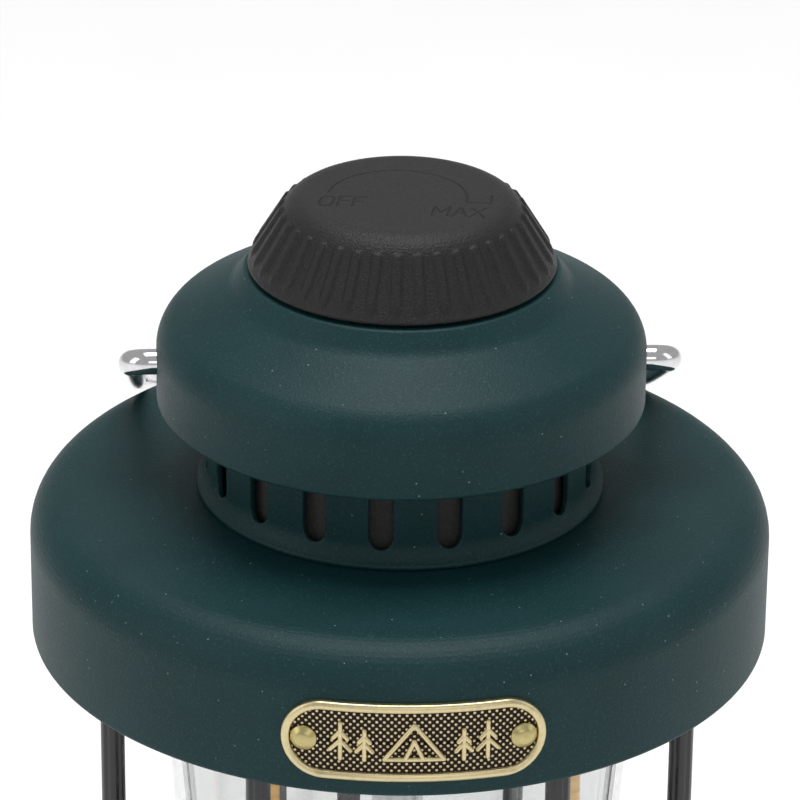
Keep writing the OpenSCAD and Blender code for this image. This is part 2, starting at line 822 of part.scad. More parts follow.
// Circuit board of the dimmer, held on the standoffs
module driver_board() {
    color([0.05, 0.25, 0.15])
    difference() {
        union() {
            disc(board_r, board_z, board_z + board_t);
            translate([0, 0, board_z + board_t - TINY]) {
                rotate(270) translate([8, -4.5, 0]) cube([6, 9, 3]);
                rotate(150) translate([8, -3, 0]) cube([6, 6, 4]);
                rotate(30) translate([11, 0, 0]) cylinder(r = 3.2, h = 5);
            }
        }
        around(3, standoff_ring_r, 90) disc(standoff_r + seat_gap, board_z - 1, board_z + board_t + 1);
    }
}

// ---- Dimmer and dial ----

module dimmer_body() {
    color([0.35, 0.35, 0.36])
    difference() {
        union() {
            disc(pot_r, pot_top_z - pot_t, pot_top_z);
            disc(bushing_r, pot_top_z - TINY, bushing_top_z);
        }
        disc(shaft_r + run_fit, shaft_z - move_gap, bushing_top_z + 1);
    }
}

module dimmer_nut() {
    color([0.75, 0.75, 0.76])
    difference() {
        translate([0, 0, cap_top_z]) cylinder(r = nut_r, h = nut_t, $fn = 6);
        disc(bushing_r, cap_top_z - 1, cap_top_z + nut_t + 1);
    }
}

// Half plane that cuts the flat on the shaft, reached by d from the axis
module flat_cut(d, z0, z1) translate([-20, d, z0]) cube([40, 20, z1 - z0]);

module dimmer_shaft() {
    color([0.7, 0.7, 0.72])
    difference() {
        disc(shaft_r, shaft_z, shaft_top_z);
        flat_cut(shaft_r - flat_depth, hub_z, shaft_top_z + 1);
    }
}

// Grip rib with round ends, lying on the dial's sloping side and sunk into it
module grip_rib() {
    run = dial_r - dial_top_d / 2;
    from = rib_start + rib_w / 2;
    to = norm([run, dial_h]) - rib_end - rib_w / 2;
    translate([dial_top_d / 2, 0, dial_top_z]) rotate([0, atan2(run, -dial_h), 0])
        translate([rib_w / 2 - rib_proud, 0, 0]) {
            translate([0, 0, from]) cylinder(r = rib_w / 2, h = to - from, $fn = 24);
            for (z = [from, to]) translate([0, 0, z]) sphere(r = rib_w / 2, $fn = 24);
        }
}

module dimmer_knob() {
    top_r = dial_top_d / 2;
    color([0.06, 0.06, 0.06]) {
        difference() {
            union() {
                turned([
                    [0, dial_z, 0], [dial_r, dial_z, 0.5], [top_r, dial_top_z, dial_round],
                    [0, dial_top_z, 0]
                ]);
                around(rib_count, 0) grip_rib();
            }
            turned([
                [0, dial_z - 1, 0], [dial_r - dial_wall + 0.6, dial_z - 1, 0],
                [top_r - dial_wall, dial_top_z - dial_wall, 3], [0, dial_top_z - dial_wall, 0]
            ]);
        }
        difference() {
            disc(hub_r, hub_z, dial_top_z - dial_wall + TINY);
            difference() {
                disc(shaft_r + 0.03, hub_z - 1, shaft_top_z + 0.1);
                flat_cut(shaft_r - flat_depth + 0.03, hub_z - 1, shaft_top_z + 1);
            }
        }
    }
}

// ---- Bail ----

// Space between the brim and a point at radius r and height z outside it
function brim_space(r, z) =
    r < brim_r - brim_round ? z - (shoulder_z + brim_round)
    : z < shoulder_z ? r - brim_r
    : norm([r - (brim_r - brim_round), z - shoulder_z]) - brim_round;

// Points of one half of the bail's centre line, as [x, distance from the pivot]
bail_line = concat(
    [for (s = [bail_bend_r:2:bail_arm]) [arm_x, s]],
    [for (a = [0:4:90]) [arm_x * cos(a), bail_arm + arm_x * sin(a)]]
);

// Least space between the brim and the bail's centre line when its arms slope down by a
function bail_space(a) = min([for (p = bail_line)
    brim_space(norm([p.x, p.y * cos(a)]), bail_pivot_z - p.y * sin(a))]);

// Steepest slope at which the bail still clears the brim
bail_rest = min([for (a = [0:0.25:70]) if (bail_space(a) < rod_r + rest_gap) a]) - 0.25;

// Frame of the bail: the pivot is on X, the arms point along +Y
module bail_place() translate([0, 0, bail_pivot_z]) rotate([-bail_rest, 0, 0]) children();

module bail_handle() {
    color([0.8, 0.8, 0.82])
    bail_place() {
        for (side = [0, 1]) mirror([side, 0, 0]) {
            translate([bail_end_x, 0, 0]) rotate([0, 90, 0])
                cylinder(r = rod_r, h = arm_x - bail_bend_r - bail_end_x);
            translate([arm_x - bail_bend_r, bail_bend_r, 0]) rotate(-90)
                rotate_extrude(angle = 90) translate([bail_bend_r, 0]) circle(r = rod_r);
            translate([arm_x, bail_bend_r, 0]) rotate([-90, 0, 0])
                cylinder(r = rod_r, h = bail_arm - bail_bend_r);
        }
        translate([0, bail_arm, 0]) rotate_extrude(angle = 180) translate([arm_x, 0]) circle(r = rod_r);
    }
}

// Rings that keep the bail's ends in the cap
module bail_clips() {
    x0 = cap_r - sheet_t - bushing_flange - move_gap - clip_t - 0.3;
    color([0.6, 0.6, 0.62])
    for (side = [0, 1]) mirror([side, 0, 0])
        translate([x0, 0, bail_pivot_z]) rotate([0, 90, 0]) difference() {
            cylinder(r = rod_r + clip_w, h = clip_t);
            translate([0, 0, -1]) cylinder(r = rod_r, h = clip_t + 2);
        }
}

// Flanged bushings in the cap's skirt, which the bail turns in
module bail_bushings() {
    x0 = bushing_inner_x - bushing_flange;
    color([0.1, 0.1, 0.1])
    for (side = [0, 1]) mirror([side, 0, 0])
        translate([0, 0, bail_pivot_z]) rotate([0, 90, 0]) difference() {
            union() {
                translate([0, 0, x0]) cylinder(r = rod_r + bushing_wall, h = cap_r - 0.2 - x0);
                translate([0, 0, x0]) cylinder(r = bushing_lip_r, h = bushing_flange);
            }
            translate([0, 0, x0 - 1]) cylinder(r = rod_r + run_fit, h = cap_r);
        }
}

foot_ring();
base_floor();
base_housing();
base_deck();
battery_holder();
battery_door();
door_seal();
contact_carrier();
carrier_bridge();
contact_springs();
upper_contacts();
floor_screws();
deck_screws();
post_screws();
upper_frame();
head_screws();
shade();
shade_gasket_lower();
shade_gasket_upper();
led_base_plate();
led_top_plate();
led_plate_screws();
wire_tube();
wire_pair();
brim();
nameplate();
nameplate_rivets();
vent_neck();
vent_liner();
neck_screws();
cap_standoffs();
driver_board();
cap_screws();
top_cap();
bail_bushings();
dimmer_body();
dimmer_nut();
dimmer_shaft();
dimmer_knob();
bail_handle();
bail_clips();
for (i = [1:post_count]) guard_post(i);
for (i = [1:3]) battery_cell(i);
for (i = [1:led_count]) led_carrier(i);
for (i = [1:led_count]) led_strip(i);
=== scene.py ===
import json
import math

import bmesh
import bpy
import numpy as np
from bpy.props import FloatProperty, FloatVectorProperty, IntProperty, PointerProperty
from mathutils import Matrix, Vector


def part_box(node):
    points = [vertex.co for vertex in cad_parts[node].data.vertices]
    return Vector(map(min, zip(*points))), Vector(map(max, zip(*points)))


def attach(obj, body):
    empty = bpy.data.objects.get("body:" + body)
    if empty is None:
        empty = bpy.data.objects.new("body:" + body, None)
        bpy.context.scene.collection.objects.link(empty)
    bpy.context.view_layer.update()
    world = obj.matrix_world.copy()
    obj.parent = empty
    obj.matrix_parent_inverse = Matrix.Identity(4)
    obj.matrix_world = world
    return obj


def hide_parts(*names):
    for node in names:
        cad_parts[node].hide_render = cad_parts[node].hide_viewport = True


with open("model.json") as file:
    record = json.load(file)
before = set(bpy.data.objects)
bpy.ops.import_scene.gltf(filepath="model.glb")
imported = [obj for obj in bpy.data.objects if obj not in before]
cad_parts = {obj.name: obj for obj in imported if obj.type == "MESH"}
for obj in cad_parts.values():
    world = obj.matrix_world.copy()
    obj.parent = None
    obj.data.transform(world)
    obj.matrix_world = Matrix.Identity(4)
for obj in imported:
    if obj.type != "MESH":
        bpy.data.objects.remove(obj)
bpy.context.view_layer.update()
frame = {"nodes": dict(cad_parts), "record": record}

bl_info = {
    "name": "Camping Lantern Looks",
    "version": (1, 0, 0),
    "blender": (4, 5, 0),
    "location": "3D View > Sidebar > Lantern",
    "description": "Builds the visible surfaces and finishes of a camping lantern round its CAD frame",
    "category": "Add Mesh",
}

MM = 0.001
AROUND = 288
FLAT_GAP = 1.6
WELD = 2e-6


# ---- Surfaces ----


def fillet(path, steps=12):
    """Points of a path of rows [x, y, radius]: each inner corner becomes an arc that touches both of its sides."""
    path = np.asarray(path, float)
    points = [path[:1, :2]]
    for before, corner, after in zip(path[:-2], path[1:-1], path[2:]):
        a, b, c, radius = before[:2], corner[:2], after[:2], corner[2]
        if radius <= 0:
            points.append(b[None])
            continue
        u, v = (a - b) / np.linalg.norm(a - b), (c - b) / np.linalg.norm(c - b)
        half = math.acos(np.clip(u @ v, -1, 1)) / 2
        centre = b + (u + v) / np.linalg.norm(u + v) * radius / math.sin(half)
        start, end = b + u * radius / math.tan(half) - centre, b + v * radius / math.tan(half) - centre
        turn = math.atan2(start[0] * end[1] - start[1] * end[0], start @ end)
        angle = math.atan2(start[1], start[0]) + np.linspace(0, turn, steps + 1)
        points.append(centre + radius * np.column_stack([np.cos(angle), np.sin(angle)]))
    points.append(path[-1:, :2])
    return np.concatenate(points)


def spaced(points, gap=FLAT_GAP):
    """The same line with extra points along its straight parts, so that no two are further apart than gap."""
    steps = np.linalg.norm(np.diff(points, axis=0), axis=1)
    along = np.concatenate([[0], np.cumsum(steps)])
    extra = [np.linspace(a, b, int(math.ceil((b - a) / gap)) + 1)
             for a, b in zip(along[:-1], along[1:]) if b > a]
    near = np.clip(np.concatenate([along - 0.12, along + 0.12]), 0, along[-1])
    at = np.unique(np.round(np.concatenate(extra + [near]), 4))
    return np.column_stack([np.interp(at, along, points[:, k]) for k in range(points.shape[1])])


def quads(rows, columns, wrap=True):
    """Corner numbers of the faces of a grid of points. wrap joins the last column to the first."""
    r = np.arange(rows - 1)[:, None] * columns
    c = np.arange(columns if wrap else columns - 1)[None, :]
    n = (c + 1) % columns
    return np.stack([r + c, r + columns + c, r + columns + n, r + n], -1).reshape(-1, 4)


def turned(path, columns=AROUND, steps=12, gap=FLAT_GAP, wave=None):
    """Surface of revolution of a filleted profile in (radius, height): x = r cos a, y = r sin a.
    A profile that doesn't start and end on the axis is closed to a ring. wave(r, z, a) may move points outwards."""
    path = np.asarray(path, float)
    line = fillet(path, steps)
    if line[0, 0] > 1e-6 or line[-1, 0] > 1e-6:
        line = np.concatenate([line, line[:1]])
    line = spaced(line, gap)
    angle = np.arange(columns) * 2 * math.pi / columns
    r, z = np.repeat(line[:, :1], columns, 1), np.repeat(line[:, 1:], columns, 1)
    if wave is not None:
        along = np.gradient(line, axis=0)
        along /= np.linalg.norm(along, axis=1)[:, None]
        push = wave(r, z, np.repeat(angle[None], len(line), 0))
        r, z = r + push * along[:, 1:], z - push * along[:, :1]
    points = np.stack([r * np.cos(angle), r * np.sin(angle), z], -1)
    return points.reshape(-1, 3), quads(len(line), columns)


class Sheet:
    """Pressed sheet turned round the axis. A point is named by its angle, its distance s along the
    outer side of the profile, and its depth d under that side: (r, z) = profile(s) + d * inward normal(s)."""

    def __init__(self, path, thickness, columns=AROUND, phase=0.0):
        line = spaced(fillet(path))
        steps = np.diff(line, axis=0)
        lengths = np.linalg.norm(steps, axis=1)
        turn = np.unwrap(np.arctan2(steps[:, 1], steps[:, 0]))
        self.line, self.s = line, np.concatenate([[0], np.cumsum(lengths)])
        self.turn = np.interp(self.s, (self.s[1:] + self.s[:-1]) / 2, turn)
        self.thickness, self.columns = thickness, columns
        self.angle = phase + np.arange(columns) * 2 * math.pi / columns
        self.patches, self.inside = [], np.zeros((len(self.s), columns), bool)

    def place(self, angle, s, d):
        """Points in space of an angle, a distance along the profile and a depth."""
        over = s - np.clip(s, self.s[0], self.s[-1])
        turn = np.interp(s, self.s, self.turn)
        r = np.interp(s, self.s, self.line[:, 0]) + over * np.cos(turn) + d * np.sin(turn)
        z = np.interp(s, self.s, self.line[:, 1]) + over * np.sin(turn) - d * np.cos(turn)
        return np.stack([r * np.cos(angle), r * np.sin(angle), z], -1)

    def at_height(self, z):
        """Distance along the profile at which its last fall passes a height."""
        falling = self.line[:, 1][::-1]
        return float(np.interp(z, falling, self.s[::-1]))

    def hole(self, angle, low_z, high_z, width, margin, radius_at, edge=0.3):
        """Cuts a slot with round ends through the sheet; with low_z and high_z one width apart it is round.
        Its faces run from the grid to the slot's outline, over a rounded edge and through the wall."""
        ends = sorted([self.at_height(low_z), self.at_height(high_z)])
        middle, half = sum(ends) / 2, (ends[1] - ends[0]) / 2 - width / 2
        rows = np.flatnonzero((self.s > ends[0] - margin) & (self.s < ends[1] + margin))
        turn = (self.angle - angle + math.pi) % (2 * math.pi) - math.pi
        near = np.flatnonzero(np.abs(turn) * radius_at < width / 2 + margin)
        columns = near[np.argsort(turn[near])]
        r0, r1 = rows[0], rows[-1]
        self.inside[r0 + 1:r1, columns[1:-1]] = True
        loop = np.concatenate([
            np.column_stack([np.full(len(columns) - 1, r0), columns[:-1]]),
            np.column_stack([np.arange(r0, r1), np.full(r1 - r0, columns[-1])]),
            np.column_stack([np.full(len(columns) - 1, r1), columns[:0:-1]]),
            np.column_stack([np.arange(r1, r0, -1), np.full(r1 - r0, columns[0])]),
        ])
        outer = np.column_stack([turn[loop[:, 1]] * radius_at, self.s[loop[:, 0]] - middle])
        core = np.column_stack([np.zeros(len(outer)), np.clip(outer[:, 1], -half, half)])
        ray = (outer - core) / np.linalg.norm(outer - core, axis=1)[:, None]
        t, bend = self.thickness, np.linspace(0, math.pi / 2, 5)
        share = np.linspace(0, 1, 7)[1:-1]
        face = [(w, edge, 0.0) for w in share]
        lip = [(1.0, edge * (1 - math.sin(b)), edge * (1 - math.cos(b))) for b in bend]
        back = [(w, e, t - d) for w, e, d in reversed(face + lip)]
        rings = []
        for w, grow, depth in face + lip + back:
            spot = (1 - w) * outer + w * (core + ray * (width / 2 + grow))
            rings.append(self.place(angle + spot[:, 0] / radius_at, spot[:, 1] + middle, np.full(len(spot), depth)))
        self.patches.append((loop, np.concatenate(rings), len(rings)))

    def surface(self, lip_steps=6):
        """Points and faces of the whole sheet: its outer side, a round lip, its inner side and the other lip."""
        rows, columns, t = len(self.s), self.columns, self.thickness
        around = np.linspace(0, math.pi, lip_steps + 1)[1:-1]
        low, high = self.s[0], self.s[-1]
        s = np.concatenate([self.s, high + t / 2 * np.sin(around), self.s[::-1], low - t / 2 * np.sin(around), [low]])
        d = np.concatenate([
            np.zeros(rows), t / 2 * (1 - np.cos(around)), np.full(rows, t), t / 2 * (1 + np.cos(around)), [0]])
        angle = np.repeat(self.angle[None], len(s), 0)
        points = self.place(angle, np.repeat(s[:, None], columns, 1), np.repeat(d[:, None], columns, 1))
        faces = quads(len(s), columns)
        hidden = np.zeros((len(s), columns), bool)
        hidden[:rows] = self.inside
        first_inner = rows + lip_steps - 1
        hidden[first_inner:first_inner + rows] = self.inside[::-1]
        flat_hidden = hidden.reshape(-1)
        touching = flat_hidden[faces].any(axis=1)
        all_points, all_faces = [points.reshape(-1, 3)], [faces[~touching]]
        count = len(s) * columns
        for loop, rings, number in self.patches:
            k = len(loop)
            front = loop[:, 0] * columns + loop[:, 1]
            behind = (first_inner + rows - 1 - loop[:, 0]) * columns + loop[:, 1]
            order = np.concatenate([front, count + np.arange(number * k), behind])
            all_faces.append(order[quads(number + 2, k)])
            all_points.append(rings)
            count += number * k
        return np.concatenate(all_points), np.concatenate(all_faces)


def bar(points, radius, up, sides=20, flat=1.0, cap_steps=7):
    """Bar along a flat line, with domed ends: ring k is point k + radius (cos a * side + flat * sin a * up)."""
    points, up = np.asarray(points, float), np.asarray(up, float)
    along = np.gradient(points, axis=0)
    along /= np.linalg.norm(along, axis=1)[:, None]
    dome = np.linspace(math.pi / 2, 0, cap_steps + 1)[:-1]
    start = points[0] - along[0] * radius * np.sin(dome)[:, None]
    end = points[-1] + along[-1] * radius * np.sin(dome[::-1])[:, None]
    centre = np.concatenate([start, points, end])
    along = np.concatenate([np.repeat(along[:1], cap_steps, 0), along, np.repeat(along[-1:], cap_steps, 0)])
    size = radius * np.concatenate([np.cos(dome), np.ones(len(points)), np.cos(dome[::-1])])
    side = np.cross(up, along)
    a = np.arange(sides) * 2 * math.pi / sides
    rings = (centre[:, None] + size[:, None, None]
             * (np.cos(a)[None, :, None] * side[:, None] + flat * np.sin(a)[None, :, None] * up))
    return rings.reshape(-1, 3), quads(len(centre), sides)


def joined(*parts):
    """Several (points, faces) pairs as one."""
    points, faces, count = [], [], 0
    for p, f in parts:
        points.append(p)
        faces.append(f + count)
        count += len(p)
    return np.concatenate(points), np.concatenate(faces)


def piece(name, shape, body, nodes, material, sharp=40):
    """Makes the object of a surface in millimetres, welds its seams, faces it outwards and ties it to its CAD body."""
    points, faces = shape
    mesh = bpy.data.meshes.new(name)
    mesh.vertices.add(len(points))
    mesh.vertices.foreach_set("co", (points * MM).astype(np.float32).ravel())
    mesh.loops.add(faces.size)
    mesh.loops.foreach_set("vertex_index", faces.astype(np.int32).ravel())
    mesh.polygons.add(len(faces))
    mesh.polygons.foreach_set("loop_start", np.arange(0, faces.size, 4, dtype=np.int32))
    mesh.update(calc_edges=True)
    grid = bmesh.new()
    grid.from_mesh(mesh)
    bmesh.ops.remove_doubles(grid, verts=grid.verts, dist=WELD)
    bmesh.ops.recalc_face_normals(grid, faces=grid.faces)
    grid.to_mesh(mesh)
    grid.free()
    mesh.polygons.foreach_set("use_smooth", np.ones(len(mesh.polygons), bool))
    mesh.set_sharp_from_angle(angle=math.radians(sharp))
    mesh.materials.append(material)
    made = bpy.data.objects.new(name, mesh)
    bpy.context.scene.collection.objects.link(made)
    if nodes:
        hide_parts(*nodes)
    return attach(made, body)


# ---- Materials ----


class Wire:
    """A shader socket that can be added, multiplied and so on like a number."""

    def __init__(self, finish, socket):
        self.finish, self.socket = finish, socket

    def maths(self, operation, *others):
        return self.finish.node("ShaderNodeMath", {"operation": operation}, self, *others)

    def __add__(self, other):
        return self.maths("ADD", other)

    def __sub__(self, other):
        return self.maths("SUBTRACT", other)

    def __mul__(self, other):
        return self.maths("MULTIPLY", other)

    def __truediv__(self, other):
        return self.maths("DIVIDE", other)

    def __pow__(self, other):
        return self.maths("POWER", other)

    def __neg__(self):
        return self * -1.0

    def __abs__(self):
        return self.maths("ABSOLUTE")

    def __rsub__(self, other):
        return -self + other

    def __rtruediv__(self, other):
        return self ** -1.0 * other

    __radd__, __rmul__ = __add__, __mul__

    def low(self, other):
        return self.maths("MINIMUM", other)

    def high(self, other):
        return self.maths("MAXIMUM", other)

    def sin(self):
        return self.maths("SINE")

    def ramp(self, start, end):
        """0 below start, 1 above end and smooth in between."""
        return self.finish.node(
            "ShaderNodeMapRange", {"interpolation_type": "SMOOTHSTEP"}, self, start, end, 0.0, 1.0)


class Finish:
    """A material being written: node() makes any node, noise() and the like are short for common ones."""

    def __init__(self, name, **constants):
        self.material = bpy.data.materials.new(name)
        self.material.use_nodes = True
        self.tree = self.material.node_tree
        self.tree.nodes.clear()
        self.shader = self.tree.nodes.new("ShaderNodeBsdfPrincipled")
        out = self.tree.nodes.new("ShaderNodeOutputMaterial")
        self.tree.links.new(self.shader.outputs["BSDF"], out.inputs["Surface"])
        for key, value in constants.items():
            self.shader.inputs[key.replace("_", " ")].default_value = value
        place = self.tree.nodes.new("ShaderNodeTexCoord")
        self.place = Wire(self, place.outputs["Object"])
        self.bumps = None

    def node(self, kind, settings, *inputs, out=0, **named):
        """Makes a node: its settings first, then its inputs in order or by name."""
        made = self.tree.nodes.new(kind)
        for key, value in settings.items():
            setattr(made, key, value)
        pairs = list(zip(made.inputs, inputs))
        pairs += [(made.inputs[key.replace("_", " ")], value) for key, value in named.items()]
        for socket, value in pairs:
            if isinstance(value, Wire):
                self.tree.links.new(value.socket, socket)
            elif value is not None:
                socket.default_value = value
        return Wire(self, made.outputs[out])

    def set(self, name, value):
        self.tree.links.new(value.socket, self.shader.inputs[name])
        return self

    def noise(self, size_mm, detail=2.0, rough=0.5, stretch=None):
        """Noise of that feature size, from 0 to 1 round 0.5."""
        place = self.place
        if stretch is not None:
            place = self.node("ShaderNodeVectorMath", {"operation": "MULTIPLY"}, place, stretch)
        return self.node("ShaderNodeTexNoise", {}, Vector=place, Scale=1 / (size_mm * MM), Detail=detail, Roughness=rough)

    def mix(self, share, a, b):
        """Colour a where share is 0 and colour b where it is 1."""
        made = self.tree.nodes.new("ShaderNodeMix")
        made.data_type = "RGBA"
        for name, value in (("Factor", share), ("A", a), ("B", b)):
            socket = [s for s in made.inputs if s.name == name and s.enabled][0]
            if isinstance(value, Wire):
                self.tree.links.new(value.socket, socket)
            else:
                socket.default_value = (*value, 1.0) if isinstance(value, tuple) else value
        return Wire(self, [s for s in made.outputs if s.enabled][0])

    def bump(self, height, depth_mm, strength=1.0):
        """Adds a relief of that depth to the surface."""
        made = self.tree.nodes.new("ShaderNodeBump")
        made.inputs["Strength"].default_value = strength
        made.inputs["Distance"].default_value = depth_mm * MM
        self.tree.links.new(height.socket, made.inputs["Height"])
        if self.bumps is not None:
            self.tree.links.new(self.bumps.socket, made.inputs["Normal"])
        self.bumps = Wire(self, made.outputs["Normal"])
        return self.set("Normal", self.bumps)

    def xyz_mm(self):
        """The three coordinates in millimetres."""
        made = self.tree.nodes.new("ShaderNodeSeparateXYZ")
        self.tree.links.new(self.place.socket, made.inputs[0])
        return [Wire(self, s) * (1 / MM) for s in made.outputs]

    def specks(self, size_mm, share):
        """Small round spots in a few of the cells of that size: 1 inside a spot."""
        cells = self.node("ShaderNodeTexVoronoi", {}, Vector=self.place, Scale=1 / (size_mm * MM), out="Distance")
        chance = self.node("ShaderNodeTexWhiteNoise", {}, Vector=self.node(
            "ShaderNodeTexVoronoi", {}, Vector=self.place, Scale=1 / (size_mm * MM), out="Position"), out="Value")
        return (1.0 - cells.ramp(0.1, 0.2)) * chance.ramp(1 - share, 1 - share * 0.5)


FINISHES = {}


def finish(name):
    """The finished material of one of the record's slots, made once."""
    if name not in FINISHES:
        FINISHES[name] = MAKERS[name](name)
    return FINISHES[name]


def powder_coat(name):
    """Dark green powder coat: orange peel, fine grain and a few pale specks, which are painted glints of the coat's
    sparkle.
    """
    f = Finish(name, Specular_IOR_Level=0.2)
    tone = f.noise(14, 3.0)
    colours = bpy.context.scene.lantern_colours
    green = f.mix(tone.ramp(0.3, 0.7), tuple(colours.coat), tuple(colours.coat_light))
    grain = f.noise(0.42, 2.0, 0.65)
    green = f.mix(grain.ramp(0.54, 0.76) * 0.6, green, (0.030, 0.075, 0.082))
    # the pale specks mixed in here are painted glints: the coat's sparkle put into its colour
    f.set("Base Color", f.mix(f.specks(0.9, 0.04) * 0.6, green, (0.30, 0.37, 0.38)))
    f.set("Roughness", f.noise(0.5, 2.0) * 0.16 + 0.40)
    f.bump(f.noise(1.5, 1.0), 0.03, 0.5)
    f.bump(grain, 0.09, 0.9)
    return f.material


def moulded(name, color=(0.022, 0.022, 0.023), grain_mm=0.3, rough=0.52):
    """Moulded plastic with a fine spark-eroded grain."""
    f = Finish(name, Specular_IOR_Level=0.5)
    grain = f.noise(grain_mm, 2.5, 0.6)
    lift = tuple(c * 1.6 for c in color)
    f.set("Base Color", f.mix(grain.ramp(0.42, 0.72), color, lift))
    f.set("Roughness", f.noise(6, 2.0) * 0.12 + (rough - 0.06))
    f.bump(grain, 0.06, 0.8)
    return f.material


def rubber(name):
    """Matt black rubber with a slight bloom."""
    f = Finish(name, Specular_IOR_Level=0.35)
    bloom = f.noise(4, 4.0)
    f.set("Base Color", f.mix(bloom.ramp(0.35, 0.8), (0.014, 0.014, 0.014), (0.032, 0.032, 0.031)))
    f.set("Roughness", bloom * 0.1 + 0.68)
    f.bump(f.noise(0.5, 3.0), 0.04, 0.5)
    return f.material


def chrome(name):
    """Bright chrome plate with faint rubbing marks."""
    f = Finish(name, Metallic=1.0)
    rub = f.noise(0.8, 3.0, stretch=(1.0, 0.12, 1.0))
    f.set("Base Color", f.mix(rub.ramp(0.3, 0.9), (0.74, 0.74, 0.75), (0.64, 0.64, 0.66)))
    f.set("Roughness", rub.ramp(0.5, 0.95) * 0.08 + 0.10)
    f.bump(f.noise(3.0, 1.0), 0.02, 0.35)
    return f.material


def bright_steel(name):
    """Zinc plated steel."""
    f = Finish(name, Metallic=1.0)
    cloud = f.noise(1.2, 3.0)
    f.set("Base Color", f.mix(cloud, (0.52, 0.52, 0.53), (0.62, 0.62, 0.61)))
    f.set("Roughness", cloud * 0.16 + 0.22)
    f.bump(f.noise(0.25, 2.0), 0.01, 0.4)
    return f.material


def satin_metal(name):
    """Satin aluminium with a fine lengthwise grain."""
    f = Finish(name, Metallic=1.0)
    grain = f.noise(0.5, 3.0, stretch=(1.0, 1.0, 0.06))
    f.set("Base Color", f.mix(grain, (0.62, 0.62, 0.63), (0.74, 0.74, 0.75)))
    f.set("Roughness", grain * 0.14 + 0.26)
    f.bump(grain, 0.01, 0.4)
    return f.material


def bright_brass(name):
    f = Finish(name, Metallic=1.0)
    cloud = f.noise(1.6, 3.0)
    f.set("Base Color", f.mix(cloud, (0.66, 0.48, 0.20), (0.78, 0.60, 0.30)))
    f.set("Roughness", cloud * 0.15 + 0.2)
    return f.material


def antique_brass(name, shade=1.0):
    """Worn brass, pale in small random patches, with tarnish in patches. A shade below 1 makes it darker and yellower.
    """
    f = Finish(name, Metallic=1.0)
    wear = f.noise(0.7, 3.0)
    tarnish = f.noise(2.6, 3.0)
    dull = (0.60 * shade, 0.50 * shade, 0.27 * shade ** 2)
    brass = f.mix(wear, dull, (0.74 * shade, 0.64 * shade, 0.40 * shade ** 2))
    f.set("Base Color", f.mix(tarnish.ramp(0.55, 0.85) * 0.45, brass, (0.30, 0.22, 0.10)))
    f.set("Roughness", wear * 0.16 + 0.26)
    f.bump(f.noise(0.3, 2.0), 0.02, 0.35)
    return f.material


def knurled_brass(name, radius, height):
    """Ground of the plate: dark patina with pale points on a diamond lattice.
    The lattice is the product of two waves, across the plate and up it: cos u * cos v is 1 at each point."""
    f = Finish(name, Metallic=1.0)
    x, y, z = f.xyz_mm()
    across = x.maths("ARCTAN2", -y) * radius
    up = z - height
    pitch_u, pitch_v = 1.24, 1.30
    wave = (across * (2 * math.pi / pitch_u)).maths("COSINE") * (up * (2 * math.pi / pitch_v)).maths("COSINE")
    wave = abs(wave) * (wave.ramp(-0.01, 0.01) * 2.0 - 1.0)
    dot = wave.ramp(0.15, 0.62)
    metal = f.mix(f.noise(0.6, 2.0), (0.72, 0.63, 0.42), (0.86, 0.79, 0.60))
    f.set("Base Color", f.mix(dot, (0.030, 0.020, 0.014), metal))
    f.set("Roughness", (1.0 - dot) * 0.3 + 0.3)
    f.bump(wave.ramp(0.0, 1.0), 0.22, 1.0)
    return f.material


def clear_shade(name):
    """Clear moulded plastic, hardly tinted."""
    f = Finish(name, Transmission_Weight=1.0, IOR=1.47)
    haze = f.noise(9, 2.0)
    f.set("Base Color", f.mix(haze, (0.77, 0.78, 0.78), (0.81, 0.815, 0.815)))
    f.set("Roughness", haze.ramp(0.4, 0.9) * 0.02 + 0.012)
    f.bump(f.noise(18, 1.0), 0.03, 0.2)
    return f.material


def black_rod(name):
    """Semi-gloss black stove enamel."""
    f = Finish(name, Coat_Weight=0.15, Coat_Roughness=0.15)
    peel = f.noise(0.9, 2.0)
    f.set("Base Color", f.mix(peel, (0.010, 0.010, 0.011), (0.016, 0.016, 0.017)))
    f.set("Roughness", peel * 0.1 + 0.28)
    f.bump(peel, 0.015, 0.35)
    return f.material


def amber_resin(name):
    """Amber resin bead over a row of diodes, which show as soft darker bars. It glows faintly in its own amber, a
    painted glow, though the lamp is off.
    """
    # Emission Strength here gives the unlit strips a painted glow
    f = Finish(name, Subsurface_Weight=0.25, Subsurface_Scale=0.001, Coat_Weight=0.4, Coat_Roughness=0.08,
               Emission_Strength=0.3)
    z = f.xyz_mm()[2]
    chips = (z * (2 * math.pi / 2.6)).sin().ramp(0.25, 0.85)
    amber = tuple(bpy.context.scene.lantern_colours.amber)
    amber = f.mix(chips * 0.5 + f.noise(0.8, 2.0) * 0.15, amber, (0.72, 0.32, 0.03))
    f.set("Base Color", amber)
    # painted glow: the unlit strips are given a faint amber emission
    f.set("Emission Color", amber)
    f.set("Roughness", f.noise(2.0, 2.0) * 0.1 + 0.22)
    return f.material


def gloss_sleeve(name, dark=(0.05, 0.055, 0.06), pale=(0.075, 0.08, 0.085)):
    f = Finish(name, Coat_Weight=0.3, Coat_Roughness=0.1)
    f.set("Base Color", f.mix(f.noise(3, 3.0), dark, pale))
    f.set("Roughness", f.noise(1.2, 2.0) * 0.12 + 0.24)
    return f.material


